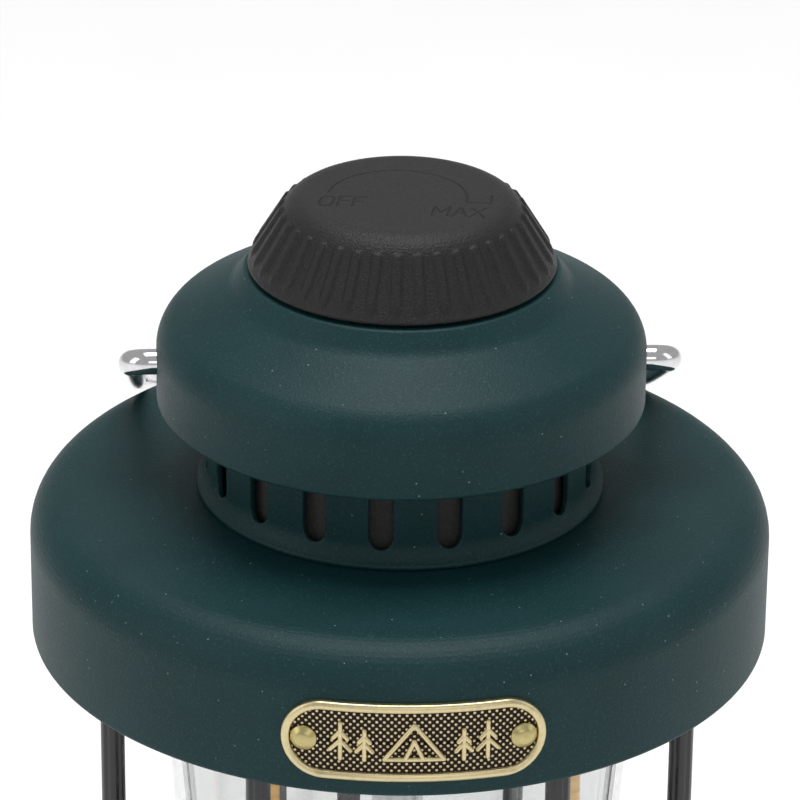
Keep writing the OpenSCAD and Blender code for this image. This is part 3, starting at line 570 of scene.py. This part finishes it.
def dial_marks():
    """Strokes of the dial's OFF and MAX and of the pointer at the arc's end, as (x, y, x, y) in millimetres."""
    letters = {
        "O": [(-1.1, -1.2, -1.1, 1.2), (-1.1, 1.2, -0.6, 2.0), (-0.6, 2.0, 0.6, 2.0), (0.6, 2.0, 1.1, 1.2),
              (1.1, 1.2, 1.1, -1.2), (1.1, -1.2, 0.6, -2.0), (0.6, -2.0, -0.6, -2.0), (-0.6, -2.0, -1.1, -1.2)],
        "F": [(-0.8, -2.0, -0.8, 2.0), (-0.8, 2.0, 1.0, 2.0), (-0.8, 0.2, 0.7, 0.2)],
        "M": [(-1.3, -1.9, -1.3, 1.9), (-1.3, 1.9, 0.0, -0.6), (0.0, -0.6, 1.3, 1.9), (1.3, 1.9, 1.3, -1.9)],
        "A": [(-1.2, -1.9, 0.0, 1.9), (0.0, 1.9, 1.2, -1.9), (-0.7, -0.5, 0.7, -0.5)],
        "X": [(-1.2, -1.9, 1.2, 1.9), (-1.2, 1.9, 1.2, -1.9)],
    }
    slant = 0.18
    spots = [("O", -13.1, -3.0), ("F", -10.2, -3.0), ("F", -7.7, -3.4),
             ("M", 6.2, -7.7), ("A", 9.4, -8.1), ("X", 12.4, -8.5)]
    strokes = [(cx + x0 + slant * y0, cy + y0, cx + x1 + slant * y1, cy + y1)
               for key, cx, cy in spots for x0, y0, x1, y1 in letters[key]]
    return strokes + [(10.9, -4.0, 14.9, -4.5), (14.9, -4.5, 15.2, -1.4)]


def dial_plastic(name):
    """The dial's black plastic, with its scale and lettering pressed into the flat top and painted darker there as
    painted shade in the grooves.
    """
    f = Finish(name, Specular_IOR_Level=0.3)
    x, y, z = f.xyz_mm()
    far = None
    for x0, y0, x1, y1 in dial_marks():
        dx, dy = x1 - x0, y1 - y0
        along = (((x - x0) * dx + (y - y0) * dy) / (dx * dx + dy * dy)).high(0.0).low(1.0)
        gap = ((x - x0 - along * dx) ** 2.0 + (y - y0 - along * dy) ** 2.0) ** 0.5
        far = gap if far is None else far.low(gap)
    arc_x, arc_y, arc_r, slit_low, slit_high = -1.0, -1.6, 11.9, 0.10, 0.26
    ring = abs(((x - arc_x) ** 2.0 + (y - arc_y) ** 2.0) ** 0.5 - arc_r)
    cut = (x + 12.8) * -0.2 - y + 1.2
    far = far.low(ring.high(cut))
    on_top = z.ramp(top("dimmer_knob") - 0.3, top("dimmer_knob") - 0.2)
    groove = (1.0 - far.ramp(slit_low, slit_high)) * on_top
    grain = f.noise(0.3, 2.5, 0.6)
    black = tuple(bpy.context.scene.lantern_colours.dial)
    plastic = f.mix(grain.ramp(0.42, 0.72), black, (0.020, 0.020, 0.021))
    # painted shade: the pressed grooves are darkened towards near black where their shade would fall
    f.set("Base Color", f.mix(groove * 0.85, plastic, (0.004, 0.004, 0.004)))
    f.set("Roughness", f.noise(6, 2.0) * 0.1 + 0.38)
    f.bump(grain, 0.16, 1.0)
    f.bump(-groove, 0.35, 1.0)
    return f.material


MAKERS = {
    "green_steel": powder_coat,
    "black_plastic": moulded,
    "dial_plastic": dial_plastic,
    "rubber": rubber,
    "bail_chrome": chrome,
    "bright_steel": bright_steel,
    "lamp_metal": satin_metal,
    "contact_brass": bright_brass,
    "antique_brass": antique_brass,
    "clear_shade": clear_shade,
    "black_rod": black_rod,
    "amber_resin": amber_resin,
    "wire_skin": lambda n: gloss_sleeve(n, (0.30, 0.015, 0.012), (0.42, 0.03, 0.02)),
    "cell_wrap": gloss_sleeve,
    "board_green": lambda n: gloss_sleeve(n, (0.008, 0.06, 0.03), (0.012, 0.09, 0.045)),
    "liner_dark": lambda n: moulded(n, (0.024, 0.023, 0.022), 0.5, 0.7),
    "carrier_dark": lambda n: moulded(n, (0.035, 0.035, 0.035), 0.4, 0.5),
}


# ---- Sizes ----


def length(name, description, default):
    """A length in metres that the user may change."""
    return FloatProperty(name=name, description=description, default=default, unit="LENGTH")


def angle(name, description, degrees):
    """An angle that the user may change, given here in degrees."""
    return FloatProperty(name=name, description=description, default=math.radians(degrees), subtype="ANGLE")


def colour(name, description, default):
    """A linear colour that the user may change."""
    return FloatVectorProperty(name=name, description=description, default=default, subtype="COLOR", min=0, max=1)


class LanternColours(bpy.types.PropertyGroup):
    """Colours of the finishes that show most."""

    coat: colour("Coat", "Darker tone of the powder coat", (0.0042, 0.0290, 0.0315))
    coat_light: colour("Coat, light", "Lighter tone of the powder coat", (0.0055, 0.0330, 0.0360))
    dial: colour("Dial", "Colour of the dial's plastic", (0.009, 0.009, 0.0095))
    amber: colour("Amber", "Colour of the light strips between their diodes", (0.95, 0.53, 0.065))


class LanternSizes(bpy.types.PropertyGroup):
    """Sizes that the pieces share."""

    sheet: length("Sheet", "Thickness of the pressed sheet", 0.0012)
    brim_radius: length("Brim radius", "Outer radius of the brim", 0.065)
    brim_round: length("Brim round", "Radius of the brim's shoulder", 0.008)
    brim_fall: length("Brim fall", "Fall of the brim's top to its edge", 0.0008)
    neck_radius: length("Neck radius", "Outer radius of the neck", 0.034)
    neck_flare: length("Neck flare", "Radius of the neck's flared foot", 0.005)
    slot_width: length("Slot width", "Width of a vent slot", 0.0042)
    slot_floor: length("Slot floor", "Height of a slot's foot above the brim", 0.0033)
    slot_count: IntProperty(name="Slots", description="Number of vent slots", default=18)
    slot_phase: angle("Slot phase", "Turn of the first slot from the front", -7.8)
    cap_radius: length("Cap radius", "Radius of the cap's skirt", 0.0425)
    cap_round: length("Cap round", "Radius of the cap's shoulder", 0.007)
    cap_seat: length("Cap seat", "Radius of the seat under the dial", 0.0272)
    dial_radius: length("Dial radius", "Radius of the dial's foot", 0.027)
    dial_top: length("Dial top", "Radius of the corner of the dial's top", 0.0191)
    dial_round: length("Dial round", "Radius of the dial's top edge", 0.0056)
    rib_count: IntProperty(name="Ribs", description="Number of grip ribs on the dial", default=38)
    rod_radius: length("Rod radius", "Radius of the bail's rod", 0.00225)
    bail_pivot: length("Bail pivot", "Height of the bail's pivot above the cap's edge", 0.0065)
    arm_x: length("Arm distance", "Half the bail's width", 0.0469)
    bail_arm: length("Bail arm", "Length of the bail's straight arm", 0.0451)
    bail_rest: angle("Bail rest", "Slope of the bail where it rests", 28.5)
    plate_length: length("Plate length", "Length of the nameplate", 0.0446)
    plate_height: length("Plate height", "Height of the nameplate", 0.0145)
    rivet_gap: length("Rivet gap", "Distance between the rivets", 0.0367)
    post_radius: length("Post radius", "Radius of a guard post", 0.0022)
    post_ring: length("Post circle", "Radius of the circle of posts", 0.0512)
    shade_wall: length("Shade wall", "Wall of the shade", 0.0024)
    shade_top: length("Shade top", "Outer radius of the shade at its top", 0.043)
    shade_low: length("Shade foot", "Outer radius of the shade at its foot", 0.03661)
    strip_ring: length("Strip circle", "Radius of the circle of light strips", 0.031)
    strip_width: length("Strip width", "Width of a light strip", 0.0029)
    base_radius: length("Base radius", "Radius of the base's body", 0.061)
    base_round: length("Base round", "Radius of the base's shoulder", 0.007)
    foot_radius: length("Foot radius", "Radius of the base's flared foot", 0.065)
    deck_radius: length("Deck radius", "Radius of the deck on the base", 0.054)
    spigot_radius: length("Spigot radius", "Radius of the deck's spigot in the base", 0.0458)


def mm(value):
    """A length in metres, in the millimetres that the surfaces use."""
    return value / MM


def low(node):
    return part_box(node)[0].z / MM


def top(node):
    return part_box(node)[1].z / MM


class LANTERN_OT_brim(bpy.types.Operator):
    """Builds the wide pressed brim"""
    bl_idname = "lantern.brim"
    bl_label = "Brim"

    def execute(self, context):
        size = context.scene.lantern
        r, z0, z1 = mm(size.brim_radius), low("brim"), top("brim")
        under_neck, lip = 0.5, mm(size.sheet) / 2
        sheet = Sheet([
            [mm(size.neck_radius) - under_neck, z1, 0],
            [r, z1 - mm(size.brim_fall), mm(size.brim_round)],
            [r, z0 + lip, 0],
        ], mm(size.sheet))
        piece("brim_look", sheet.surface(), "lantern", ["brim"], finish("green_steel"))
        return {"FINISHED"}


class LANTERN_OT_neck(bpy.types.Operator):
    """Builds the slotted neck with its flared foot"""
    bl_idname = "lantern.neck"
    bl_label = "Neck"

    def execute(self, context):
        size = context.scene.lantern
        r, foot, roof = mm(size.neck_radius), top("brim"), top("vent_neck")
        flare, flare_z = mm(size.neck_flare), foot + 2.6
        run = flare * (1 - math.cos(math.pi / 4)) + 0.1
        roof_hole, roof_round, under_cap, margin = 6.6, 2, 0.4, 1.7
        per_slot = 16
        start = -math.pi / 2 + size.slot_phase
        sheet = Sheet([
            [roof_hole, roof, 0], [r, roof, roof_round], [r, flare_z, flare], [r + run, flare_z - run, 0],
        ], mm(size.sheet), size.slot_count * per_slot, start + math.pi / size.slot_count / per_slot)
        for i in range(size.slot_count):
            sheet.hole(start + i * 2 * math.pi / size.slot_count, foot + mm(size.slot_floor),
                       low("top_cap") - under_cap, mm(size.slot_width), margin, r)
        piece("neck_look", sheet.surface(), "lantern", ["vent_neck"], finish("green_steel"))
        return {"FINISHED"}


class LANTERN_OT_cap(bpy.types.Operator):
    """Builds the cap with the two holes that the bail turns in"""
    bl_idname = "lantern.cap"
    bl_label = "Cap"

    def execute(self, context):
        size = context.scene.lantern
        r, seat, z0, z1 = mm(size.cap_radius), mm(size.cap_seat), low("top_cap"), top("top_cap")
        bushing_hole, seat_round, lip = 3.6, 0.8, mm(size.sheet) / 2
        collar_run, collar_rise, collar_round, shoulder = 2.4, 3.4, 5, 13.5
        bushing_wall, margin = 1.2, 1.9
        pivot, hole = z0 + mm(size.bail_pivot), mm(size.rod_radius) + bushing_wall
        sheet = Sheet([
            [bushing_hole, z1, 0], [seat, z1, seat_round],
            [seat + collar_run, z1 - collar_rise, collar_round],
            [r, z0 + shoulder, mm(size.cap_round)], [r, z0 + lip, 0],
        ], mm(size.sheet))
        for side in (0.0, math.pi):
            sheet.hole(side, pivot - hole, pivot + hole, 2 * hole, margin, r, edge=0.25)
        piece("cap_look", sheet.surface(), "lantern", ["top_cap"], finish("green_steel"))
        return {"FINISHED"}


class LANTERN_OT_dial(bpy.types.Operator):
    """Builds the dimmer dial with its grip ribs"""
    bl_idname = "lantern.dial"
    bl_label = "Dial"

    def execute(self, context):
        size = context.scene.lantern
        r, corner = mm(size.dial_radius), mm(size.dial_top)
        z0, z1 = low("dimmer_knob"), top("dimmer_knob")
        run, rise = r - corner, z1 - z0
        slope = math.hypot(run, rise)
        first, last, width, proud, edge = 2.6, slope - 2.2, 2.0, 0.45, 0.5
        recess, recess_round, foot_wall, foot_round = 9.9, 3, 1.8, 0.5

        def ribs(radius, z, a):
            """Height of the capsule-shaped ribs: flat on top, falling over a quarter wave to the dial's side."""
            pitch = 2 * math.pi / size.rib_count
            across = ((a + pitch / 2) % pitch - pitch / 2) * radius
            down = ((radius - corner) * run + (z1 - z) * rise) / slope
            beyond = down - np.clip(down, first + width / 2, last - width / 2)
            near = np.hypot(across, beyond)
            rib = proud * np.sin(np.clip((width / 2 - near) / edge, 0, 1) * math.pi / 2)
            outside = np.abs((radius - corner) * rise - (z1 - z) * run) / slope < 1.2
            return np.where(outside, rib, 0)

        shape = turned([
            [0, z0 + recess, 0], [corner - recess_round, z0 + recess, recess_round],
            [r - foot_wall, z0, 0], [r, z0, foot_round], [corner, z1, mm(size.dial_round)], [0, z1, 0],
        ], size.rib_count * 15, 8, 0.8, ribs)
        piece("dial_look", shape, "dial", ["dimmer_knob"], finish("dial_plastic"), 60)
        return {"FINISHED"}


class LANTERN_OT_bail(bpy.types.Operator):
    """Builds the round-rod bail that turns in the cap's two bushings"""
    bl_idname = "lantern.bail"
    bl_label = "Bail"

    def execute(self, context):
        size = context.scene.lantern
        x, arm, rod = mm(size.arm_x), mm(size.bail_arm), mm(size.rod_radius)
        end_x, bend, slope = 36.3, 3.6, size.bail_rest
        pivot = low("top_cap") + mm(size.bail_pivot)
        half = fillet([[end_x, 0, 0], [x, 0, bend], [x, arm, 0]], 16)
        arch = np.linspace(0, math.pi / 2, 60)[1:]
        arch = np.column_stack([x * np.cos(arch), arm + x * np.sin(arch)])
        half = np.concatenate([spaced(half, 2.0), arch])
        line = np.concatenate([half, half[-2::-1] * [-1, 1]])
        reach = line[:, 1]
        points = np.column_stack([line[:, 0], reach * math.cos(slope), pivot - reach * math.sin(slope)])
        shape = bar(points, rod, (0.0, math.sin(slope), math.cos(slope)), 40)
        piece("bail_look", shape, "bail", ["bail_handle"], finish("bail_chrome"))
        return {"FINISHED"}


def bent(u, v, h, radius, height):
    """Flat plate coordinates laid round the brim: u runs along its wall, v up it and h out of it."""
    turn = -math.pi / 2 + u / radius
    return np.stack([(radius + h) * np.cos(turn), (radius + h) * np.sin(turn), height + v], -1)


def tree(x, foot, tip, *boughs):
    """Strokes of a fir: a trunk from foot to tip, and boughs given as (half width, low end, peak)."""
    return [[(x, foot), (x, tip)]] + [[(x - w, end), (x, peak), (x + w, end)] for w, end, peak in boughs]


class LANTERN_OT_nameplate(bpy.types.Operator):
    """Builds the riveted brass plate, with a raised rim and a plain motif of trees and a tent"""
    bl_idname = "lantern.nameplate"
    bl_label = "Nameplate"

    def execute(self, context):
        size = context.scene.lantern
        radius = mm(size.brim_radius)
        height = (low("nameplate") + top("nameplate")) / 2
        end, straight = mm(size.plate_height) / 2, (mm(size.plate_length) - mm(size.plate_height)) / 2
        ground, proud, rim_w, stroke_r = 0.5, 1.2, 1.6, 0.42
        a = np.linspace(-math.pi / 2, math.pi / 2, 41)
        run = np.linspace(-straight, straight, 60)[1:-1]
        normal = np.concatenate([
            np.column_stack([np.cos(a), np.sin(a)]), np.tile([0.0, 1.0], (len(run), 1)),
            np.column_stack([-np.cos(a), -np.sin(a)]), np.tile([0.0, -1.0], (len(run), 1))])
        core = np.concatenate([np.full(len(a), straight), run[::-1], np.full(len(a), -straight), run])
        loops = len(core)

        def rows(inset, h):
            """Rings of the plate's outline drawn in by inset and lifted by h."""
            reach = end - np.asarray(inset)[:, None]
            u, v = core + reach * normal[:, 0], reach * normal[:, 1]
            h = np.repeat(np.asarray(h)[:, None], loops, 1)
            return bent(u, v, h, radius, height).reshape(-1, 3)

        rim = spaced(fillet([
            [0, 0.0, 0], [0.05, 0.85, 0.5], [0.75, proud + 0.06, 0.8], [1.45, 0.95, 0.35], [rim_w, ground, 0],
        ], 6), 0.3)
        solid = np.concatenate([
            rows(np.concatenate([[end], rim[:, 0], [rim_w + 0.02]]),
                 np.concatenate([[0.0], rim[:, 1], [ground - 0.1]])),
            rows([end], [ground - 0.1])])
        rim_shape = solid, quads(len(rim) + 3, loops)
        piece("plate_look", rim_shape, "lantern", ["nameplate"], finish("antique_brass"), 50)

        edge, steps = rim_w - 0.05, 12
        inset = np.concatenate([np.linspace(edge, end, steps), np.linspace(end, edge, steps), [edge]])
        h = np.concatenate([np.full(steps, ground), np.full(steps, ground - 0.25), [ground]])
        FINISHES["knurl"] = knurled_brass("plate_knurl", radius, height)
        piece("plate_ground_look", (rows(inset, h), quads(len(h), loops)), "lantern", [],
              FINISHES["knurl"])

        tall, short = ((1.7, -1.6, 0.2), (1.2, 0.5, 1.9)), ((1.3, -1.7, -0.2), (0.9, 0.0, 1.1))
        strokes = tree(-12.2, -3.2, 3.4, *tall) + tree(-8.2, -3.2, 2.2, *short)
        strokes += [[(-4.9, -3.0), (0.0, 3.4), (4.9, -3.0), (-4.9, -3.0)], [(-1.5, -3.0), (0.0, 0.4), (1.5, -3.0)]]
        strokes += tree(8.2, -3.2, 2.2, *short) + tree(12.2, -3.2, 3.4, *tall)
        parts = []
        for stroke in strokes:
            line = np.array(stroke, float)
            for start, stop in zip(line[:-1], line[1:]):
                reach = np.linspace(0, 1, max(3, int(np.linalg.norm(stop - start) / 0.5)))[:, None]
                flat = np.column_stack([start + (stop - start) * reach, np.zeros(len(reach))])
                points, faces = bar(flat, stroke_r, (0.0, 0.0, 1.0), 14, 1.1, 5)
                points = bent(points[:, 0], points[:, 1], points[:, 2] + ground + 0.05, radius, height)
                parts.append((points, faces))
        piece("plate_motif_look", joined(*parts), "lantern", [], finish("antique_brass"), 60)

        domes = []
        for side in (-1, 1):
            points, faces = turned(
                [[0, 0.1, 0], [2.2, 0.1, 0], [2.3, 0.75, 0.3], [1.2, 1.5, 1.6], [0, 1.66, 0]], 64, 10, 0.25)
            u = points[:, 0] + side * mm(size.rivet_gap) / 2
            domes.append((bent(u, points[:, 1], points[:, 2], radius, height), faces))
        FINISHES["rivet"] = antique_brass("rivet_brass", 0.78)
        piece("rivets_look", joined(*domes), "lantern", ["nameplate_rivets"], FINISHES["rivet"])
        return {"FINISHED"}


class LANTERN_OT_shade(bpy.types.Operator):
    """Builds the clear tapered shade with its rounded rims"""
    bl_idname = "lantern.shade"
    bl_label = "Shade"

    def execute(self, context):
        size = context.scene.lantern
        z0, z1, wall = low("shade"), top("shade"), mm(size.shade_wall)
        r0, r1, rim = mm(size.shade_low), mm(size.shade_top), 0.7
        seam = [(r0 + r1) / 2, (z0 + z1) / 2, 0]
        shape = turned([
            seam, [r1, z1, rim], [r1 - wall, z1, rim], [r0 - wall, z0, rim], [r0, z0, rim], seam,
        ], AROUND, 6, 4.0)
        piece("shade_look", shape, "lantern", ["shade"], finish("clear_shade"), 70)
        return {"FINISHED"}


class LANTERN_OT_posts(bpy.types.Operator):
    """Builds the six fluted guard posts"""
    bl_idname = "lantern.posts"
    bl_label = "Guard posts"

    def execute(self, context):
        size = context.scene.lantern
        r, ring = mm(size.post_radius), mm(size.post_ring)
        z0, z1 = low("guard_post_1"), top("guard_post_1")
        posts, flutes, depth, chamfer, levels, sides = 6, 6, 0.3, 0.35, 30, 96
        a = np.arange(sides) * 2 * math.pi / sides
        flute = np.clip(np.cos(a * flutes), 0, 1) ** 1.5 * depth
        heights = np.concatenate([[z0, z0], np.linspace(z0 + chamfer, z1 - chamfer, levels), [z1, z1]])
        scale = np.concatenate([[0.0, 0.9], np.ones(levels), [0.9, 0.0]])
        across = (r - flute)[None] * scale[:, None]
        x, y, z = ring + across * np.cos(a), across * np.sin(a), np.repeat(heights[:, None], sides, 1)
        for i in range(posts):
            turn = i * 2 * math.pi / posts
            points = np.stack([
                x * math.cos(turn) - y * math.sin(turn), x * math.sin(turn) + y * math.cos(turn), z], -1)
            piece(f"post_look_{i + 1}", (points.reshape(-1, 3), quads(len(heights), sides)), "lantern",
                  [f"guard_post_{i + 1}"], finish("black_rod"))
        return {"FINISHED"}


class LANTERN_OT_strips(bpy.types.Operator):
    """Builds the resin beads of the three light strips"""
    bl_idname = "lantern.strips"
    bl_label = "Light strips"

    def execute(self, context):
        size = context.scene.lantern
        z0, z1 = low("led_strip_1"), top("led_strip_1")
        half, face = mm(size.strip_width) / 2, mm(size.strip_ring) + 0.5
        strips, first_turn, bulge, sunk = 3, 105, 1.25, 0.02
        for i in range(strips):
            turn = math.radians(first_turn + i * 360 / strips)
            ends = np.array([[face, 0, z0 + half], [face, 0, z1 - half]])
            line = ends[0] + (ends[1] - ends[0]) * np.linspace(0, 1, 40)[:, None]
            points, faces = bar(line, half, (1.0, 0.0, 0.0), 24, bulge, 6)
            points[:, 0] = np.maximum(points[:, 0], face - sunk)
            points = points @ np.array([
                [math.cos(turn), math.sin(turn), 0], [-math.sin(turn), math.cos(turn), 0], [0, 0, 1]])
            piece(f"strip_look_{i + 1}", (points, faces), "lantern", [f"led_strip_{i + 1}"],
                  finish("amber_resin"), 60)
        return {"FINISHED"}


class LANTERN_OT_base(bpy.types.Operator):
    """Builds the base's pressed housing, its moulded deck and its rubber foot"""
    bl_idname = "lantern.base"
    bl_label = "Base"

    def execute(self, context):
        size = context.scene.lantern
        top_z, foot_z, deck_z = top("base_housing"), low("base_housing"), top("base_deck")
        body, foot, lip = mm(size.base_radius), mm(size.foot_radius), mm(size.sheet) / 2
        spigot, deck = mm(size.spigot_radius), mm(size.deck_radius)
        sheet = Sheet([
            [spigot + 0.1, top_z, 0], [body, top_z, mm(size.base_round)], [body, foot_z + 15, 9],
            [foot, foot_z + 7, 3], [foot, foot_z + lip, 0],
        ], mm(size.sheet))
        piece("housing_look", sheet.surface(), "lantern", ["base_housing"], finish("green_steel"))

        groove_depth, groove_round, spigot_depth = 0.5, 0.15, 1.8
        grooves = [[centre + side, deck_z - drop, groove_round] for centre in (52.2, 45.0, 41.4)
                   for side, drop in ((0.5, 0), (0.2, groove_depth), (-0.2, groove_depth), (-0.5, 0))]
        shape = turned([
            [0, top_z - spigot_depth, 0], [spigot, top_z - spigot_depth, 0.2], [spigot, top_z, 0.1],
            [deck, top_z, 0.3], [deck, deck_z, 1.0]] + grooves + [[0, deck_z, 0]], AROUND, 3)
        piece("deck_look", shape, "lantern", ["base_deck"], finish("black_plastic"))

        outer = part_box("foot_ring")[1].x / MM
        inner, rise, thick, rebate = foot - 9, 2, 3, 4.8
        treads = [[foot - k * 1.8 - w, h, 0.2] for k in range(1, 5)
                  for w, h in ((0, 0), (0.3, 0.7), (0.9, 0.7), (1.2, 0))]
        shape = turned([[inner, rise, 0], [inner, 0, 0.4]] + treads[::-1] + [
            [outer, 0, 1.0], [outer, thick, 0.2], [foot - 1.3, thick, 0.1],
            [foot - 1.3, rebate, 0.2], [inner, rebate, 0.2]], AROUND, 3)
        piece("foot_look", shape, "lantern", ["foot_ring"], finish("rubber"))
        return {"FINISHED"}


class LANTERN_OT_finishes(bpy.types.Operator):
    """Gives every CAD node that still shows the finish of its slot"""
    bl_idname = "lantern.finishes"
    bl_label = "Finishes"

    def execute(self, context):
        slots = {row["node"]: row["material_slot"] for row in frame["record"]["subparts"]}
        for name, node in frame["nodes"].items():
            if node.hide_render:
                continue
            node.data.materials.clear()
            node.data.materials.append(finish(slots[name]))
        return {"FINISHED"}


def softbox(name, place, aim, width, height, power, color=(1.0, 1.0, 1.0)):
    """Large soft area lamp at a place, turned towards another."""
    data = bpy.data.lights.new(name, "AREA")
    data.shape, data.size, data.size_y, data.energy, data.color = "RECTANGLE", width, height, power, color
    lamp = bpy.data.objects.new(name, data)
    lamp.location = place
    lamp.rotation_euler = (Vector(aim) - Vector(place)).to_track_quat("-Z", "Y").to_euler()
    bpy.context.scene.collection.objects.link(lamp)


class LANTERN_OT_stage(bpy.types.Operator):
    """Makes the pale floor, the soft lamps, the grey surroundings and the camera"""
    bl_idname = "lantern.stage"
    bl_label = "Stage"

    def execute(self, context):
        scene = bpy.context.scene
        f = Finish("pale_floor")
        f.set("Base Color", f.mix(f.noise(60, 3.0), (0.86, 0.86, 0.86), (0.90, 0.90, 0.90)))
        f.set("Roughness", f.noise(20, 2.0) * 0.1 + 0.75)
        f.shader.inputs["Emission Color"].default_value = (1.0, 1.0, 1.0, 1.0)
        f.shader.inputs["Emission Strength"].default_value = 0.18
        reach, side = 4, 9
        steps = np.linspace(-reach, reach, side)
        points = np.stack(np.meshgrid(steps, steps, [0.0], indexing="ij"), -1).reshape(-1, 3)
        mesh = bpy.data.meshes.new("floor")
        mesh.from_pydata(points.tolist(), [], quads(side, side, False).tolist())
        mesh.materials.append(f.material)
        floor = bpy.data.objects.new("floor", mesh)
        scene.collection.objects.link(floor)
        world = bpy.data.worlds.new("studio")
        world.use_nodes = True
        world.node_tree.nodes["Background"].inputs["Color"].default_value = (1.0, 1.0, 1.0, 1.0)
        world.node_tree.nodes["Background"].inputs["Strength"].default_value = 0.45
        scene.world = world
        aim = (0.0, 0.0, 0.2)
        softbox("softbox_top", (0.0, 0.12, 1.5), aim, 0.9, 0.7, 13.5)
        softbox("softbox_left", (-1.5, -0.5, 0.8), aim, 0.7, 1.2, 4.2)
        softbox("softbox_right", (1.5, -0.4, 0.8), aim, 0.6, 1.2, 2.2)
        softbox("softbox_front", (0.2, -1.9, 0.9), aim, 1.2, 0.6, 3.2)
        scene.view_settings.view_transform = "Standard"
        elevation, azimuth, roll, distance = math.radians(25.26), math.radians(-2.4), math.radians(0.54), 0.8712
        level = math.cos(elevation)
        back = Vector((math.sin(azimuth) * level, -math.cos(azimuth) * level, math.sin(elevation)))
        right = Vector((math.cos(azimuth), math.sin(azimuth), 0.0))
        up = back.cross(right)
        below_cap, aside = 1.25, 0.17
        target = Vector((0.0, 0.0, (low("top_cap") - below_cap) * MM)) - right * (aside * MM)
        data = bpy.data.cameras.new("camera")
        data.lens, data.sensor_width = 225.0, 36.0
        camera = bpy.data.objects.new("camera", data)
        x_axis = right * math.cos(roll) + up * math.sin(roll)
        y_axis = up * math.cos(roll) - right * math.sin(roll)
        camera.matrix_world = Matrix.Translation(target + back * distance) @ Matrix(
            (x_axis, y_axis, back)).transposed().to_4x4()
        scene.collection.objects.link(camera)
        scene.camera = camera
        return {"FINISHED"}


class LANTERN_PT_panel(bpy.types.Panel):
    """Panel with one button for each step of the lantern"""
    bl_idname = "LANTERN_PT_panel"
    bl_label = "Camping Lantern"
    bl_space_type = "VIEW_3D"
    bl_region_type = "UI"
    bl_category = "Lantern"

    def draw(self, context):
        for step in STEPS:
            self.layout.operator(step.bl_idname)
        for name in LanternSizes.__annotations__:
            self.layout.prop(context.scene.lantern, name)
        for name in LanternColours.__annotations__:
            self.layout.prop(context.scene.lantern_colours, name)


STEPS = (
    LANTERN_OT_brim, LANTERN_OT_neck, LANTERN_OT_cap, LANTERN_OT_dial, LANTERN_OT_bail, LANTERN_OT_nameplate,
    LANTERN_OT_shade, LANTERN_OT_posts, LANTERN_OT_strips, LANTERN_OT_base, LANTERN_OT_finishes, LANTERN_OT_stage,
)
CLASSES = (LanternSizes, LanternColours, *STEPS, LANTERN_PT_panel)


def register():
    for cls in CLASSES:
        bpy.utils.register_class(cls)
    bpy.types.Scene.lantern = PointerProperty(type=LanternSizes)
    bpy.types.Scene.lantern_colours = PointerProperty(type=LanternColours)


def unregister():
    del bpy.types.Scene.lantern_colours
    del bpy.types.Scene.lantern
    for cls in reversed(CLASSES):
        bpy.utils.unregister_class(cls)


def main():
    register()
    for step in STEPS:
        group, action = step.bl_idname.split(".")
        getattr(getattr(bpy.ops, group), action)()


if __name__ == "__main__":
    main()
